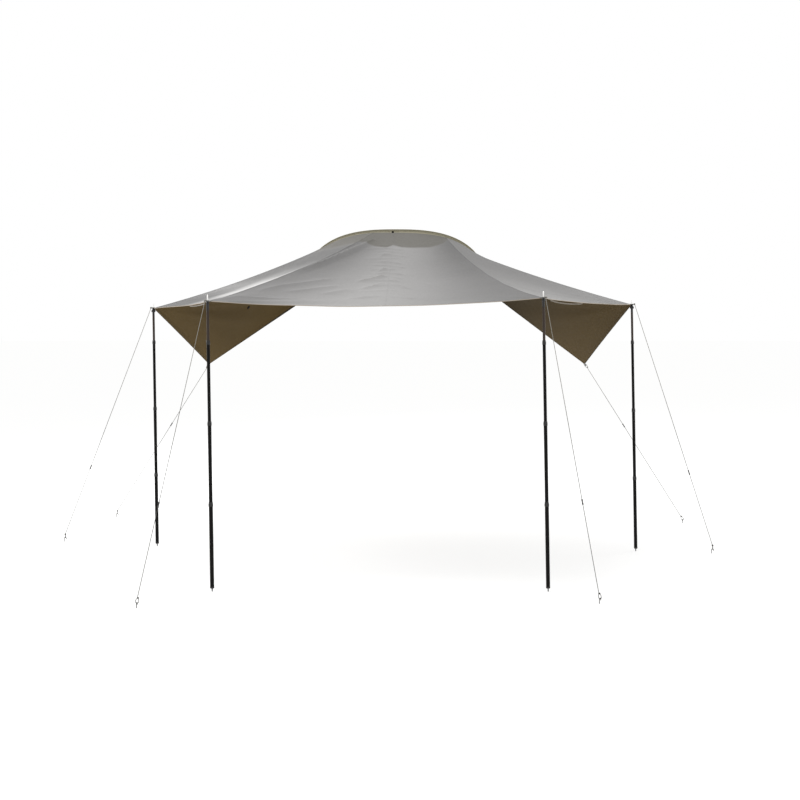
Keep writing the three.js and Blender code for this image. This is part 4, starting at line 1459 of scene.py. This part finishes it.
class AWNING_OT_toggle(bpy.types.Operator):
    """The left wing's waisted toggle, the patch below it, and a dark disc of painted shade below the
    arch.
    """

    bl_idname = "awning.toggle"
    bl_label = "Toggle"

    def execute(self, context):
        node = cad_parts["left_wing_toggle"]
        points = np.array([vertex.co for vertex in node.data.vertices])
        centre = (points.max(axis=0) + points.min(axis=0)) / 2
        axis = np.linalg.svd(points - points.mean(axis=0))[2][0]
        profile = rounded(mirrored([
            [0, 0.012], [0.0032, 0.012], [0.004, 0.0095], [0.0036, 0.003], [0.0026, 0.0012],
        ]), 0.0012)
        made = lathe("wing_toggle", profile, centre, axis, 32)
        plastic = moulded_finish("toggle_plastic", TOGGLE_COLOUR, 0.5)
        settle(made, "root", (plastic,), ("left_wing_toggle",))
        dark = webbing_finish("patch_webbing", PATCH_COLOUR, gloss=0.1)
        # A dark disc at the top of the middle seam stands for the shade there
        crown = cloth(FRONT_PANEL, *np.array(SHADE_DISC_SHARES)[:, None])[0] + UP * 0.02
        for piece, on, at, radius, thick in (
            ("wing_toggle_patch", "left_wing_cloth", centre, 0.017, 0.0012),
            ("seam_shade_disc", "canopy_cloth", crown, 0.011, 0.016),
        ):
            _, near, facing, _ = bpy.data.objects[on].closest_point_on_mesh(Vector(at))
            disc = rounded([[0, thick], [radius, thick], [radius, DISC_GAP], [0, DISC_GAP]],
                           thick * 0.4)
            patch = lathe(piece, disc, np.array(near), np.array(facing), 40)
            settle(patch, "root", (dark,))
        return {"FINISHED"}


class AWNING_OT_stage(bpy.types.Operator):
    """Camera, floor, even light and three soft lights."""

    bl_idname = "awning.stage"
    bl_label = "Stage"

    def execute(self, context):
        settings = context.scene.awning_stage
        scene = context.scene
        lens = bpy.data.cameras.new("camera")
        lens.lens, lens.sensor_width = settings.lens, SENSOR_WIDTH
        lens.shift_x, lens.shift_y = LENS_SHIFT
        lens.clip_end = CLIP_END
        camera = bpy.data.objects.new("camera", lens)
        camera.location = (settings.camera_x, settings.camera_y, settings.camera_z)
        camera.rotation_euler = (math.radians(90), 0, 0)
        scene.collection.objects.link(camera)
        scene.camera = camera
        angle, radius = ring(64), np.array(FLOOR_RINGS)[:, None]
        disc = [radius * np.cos(angle), radius * np.sin(angle), -FLOOR_GAP]
        floor = skin("floor", np.stack(np.broadcast_arrays(*disc), axis=-1))
        floor.data.materials.append(floor_finish(settings))
        world = bpy.data.worlds.new("sky")
        world.use_nodes = True
        back = world.node_tree.nodes["Background"]
        back.inputs["Color"].default_value = (1, 1, 1, 1)
        back.inputs["Strength"].default_value = settings.sky
        scene.world = world
        for name, azimuth, elevation, distance, size, power in (
            ("left_light", -125, 20, 11, 5, settings.left_power),
            ("right_light", 112, 14, 11, 5, settings.right_power),
            ("top_light", -20, 70, 9, 4, settings.top_power),
        ):
            light = bpy.data.lights.new(name, "AREA")
            light.shape, light.size, light.energy = "DISK", size, power
            lamp = bpy.data.objects.new(name, light)
            turn, rise = math.radians(azimuth), math.radians(elevation)
            away = Vector((math.sin(turn) * math.cos(rise), -math.cos(turn) * math.cos(rise),
                           math.sin(rise)))
            lamp.location = Vector(LIGHT_TARGET) + away * distance
            lamp.rotation_mode = "QUATERNION"
            lamp.rotation_quaternion = (-away).to_track_quat("-Z", "Y")
            lamp.visible_camera = False
            scene.collection.objects.link(lamp)
        scene.view_settings.view_transform = "Standard"
        return {"FINISHED"}


class AWNING_PT_panel(bpy.types.Panel):
    """Lists the awning's parts."""

    bl_label = "Awning"
    bl_idname = "AWNING_PT_panel"
    bl_space_type = "VIEW_3D"
    bl_region_type = "UI"
    bl_category = "Awning"

    def draw(self, context):
        for group in ("awning_stage", "awning_cloth", "awning_poles", "awning_ropes"):
            settings = getattr(context.scene, group)
            box = self.layout.box()
            for key in settings.__annotations__:
                box.prop(settings, key)
        for operator in OPERATORS:
            self.layout.operator(operator.bl_idname)


OPERATORS = (
    AWNING_OT_stage, AWNING_OT_ropes, AWNING_OT_canopy, AWNING_OT_wings, AWNING_OT_arch,
    AWNING_OT_tapes, AWNING_OT_eyelets, AWNING_OT_poles, AWNING_OT_locks, AWNING_OT_pegs,
    AWNING_OT_toggle,
)
SETTINGS = {
    "awning_cloth": ClothSettings,
    "awning_poles": PoleSettings,
    "awning_ropes": RopeSettings,
    "awning_stage": StageSettings,
}


def register():
    for kind in (*SETTINGS.values(), *OPERATORS, AWNING_PT_panel):
        bpy.utils.register_class(kind)
    for name, kind in SETTINGS.items():
        setattr(bpy.types.Scene, name, PointerProperty(type=kind))


def unregister():
    for name in SETTINGS:
        delattr(bpy.types.Scene, name)
    for kind in (AWNING_PT_panel, *reversed(OPERATORS), *SETTINGS.values()):
        bpy.utils.unregister_class(kind)


def main():
    register()
    for operator in OPERATORS:
        group, name = operator.bl_idname.split(".")
        getattr(getattr(bpy.ops, group), name)()


if __name__ == "__main__":
    main()
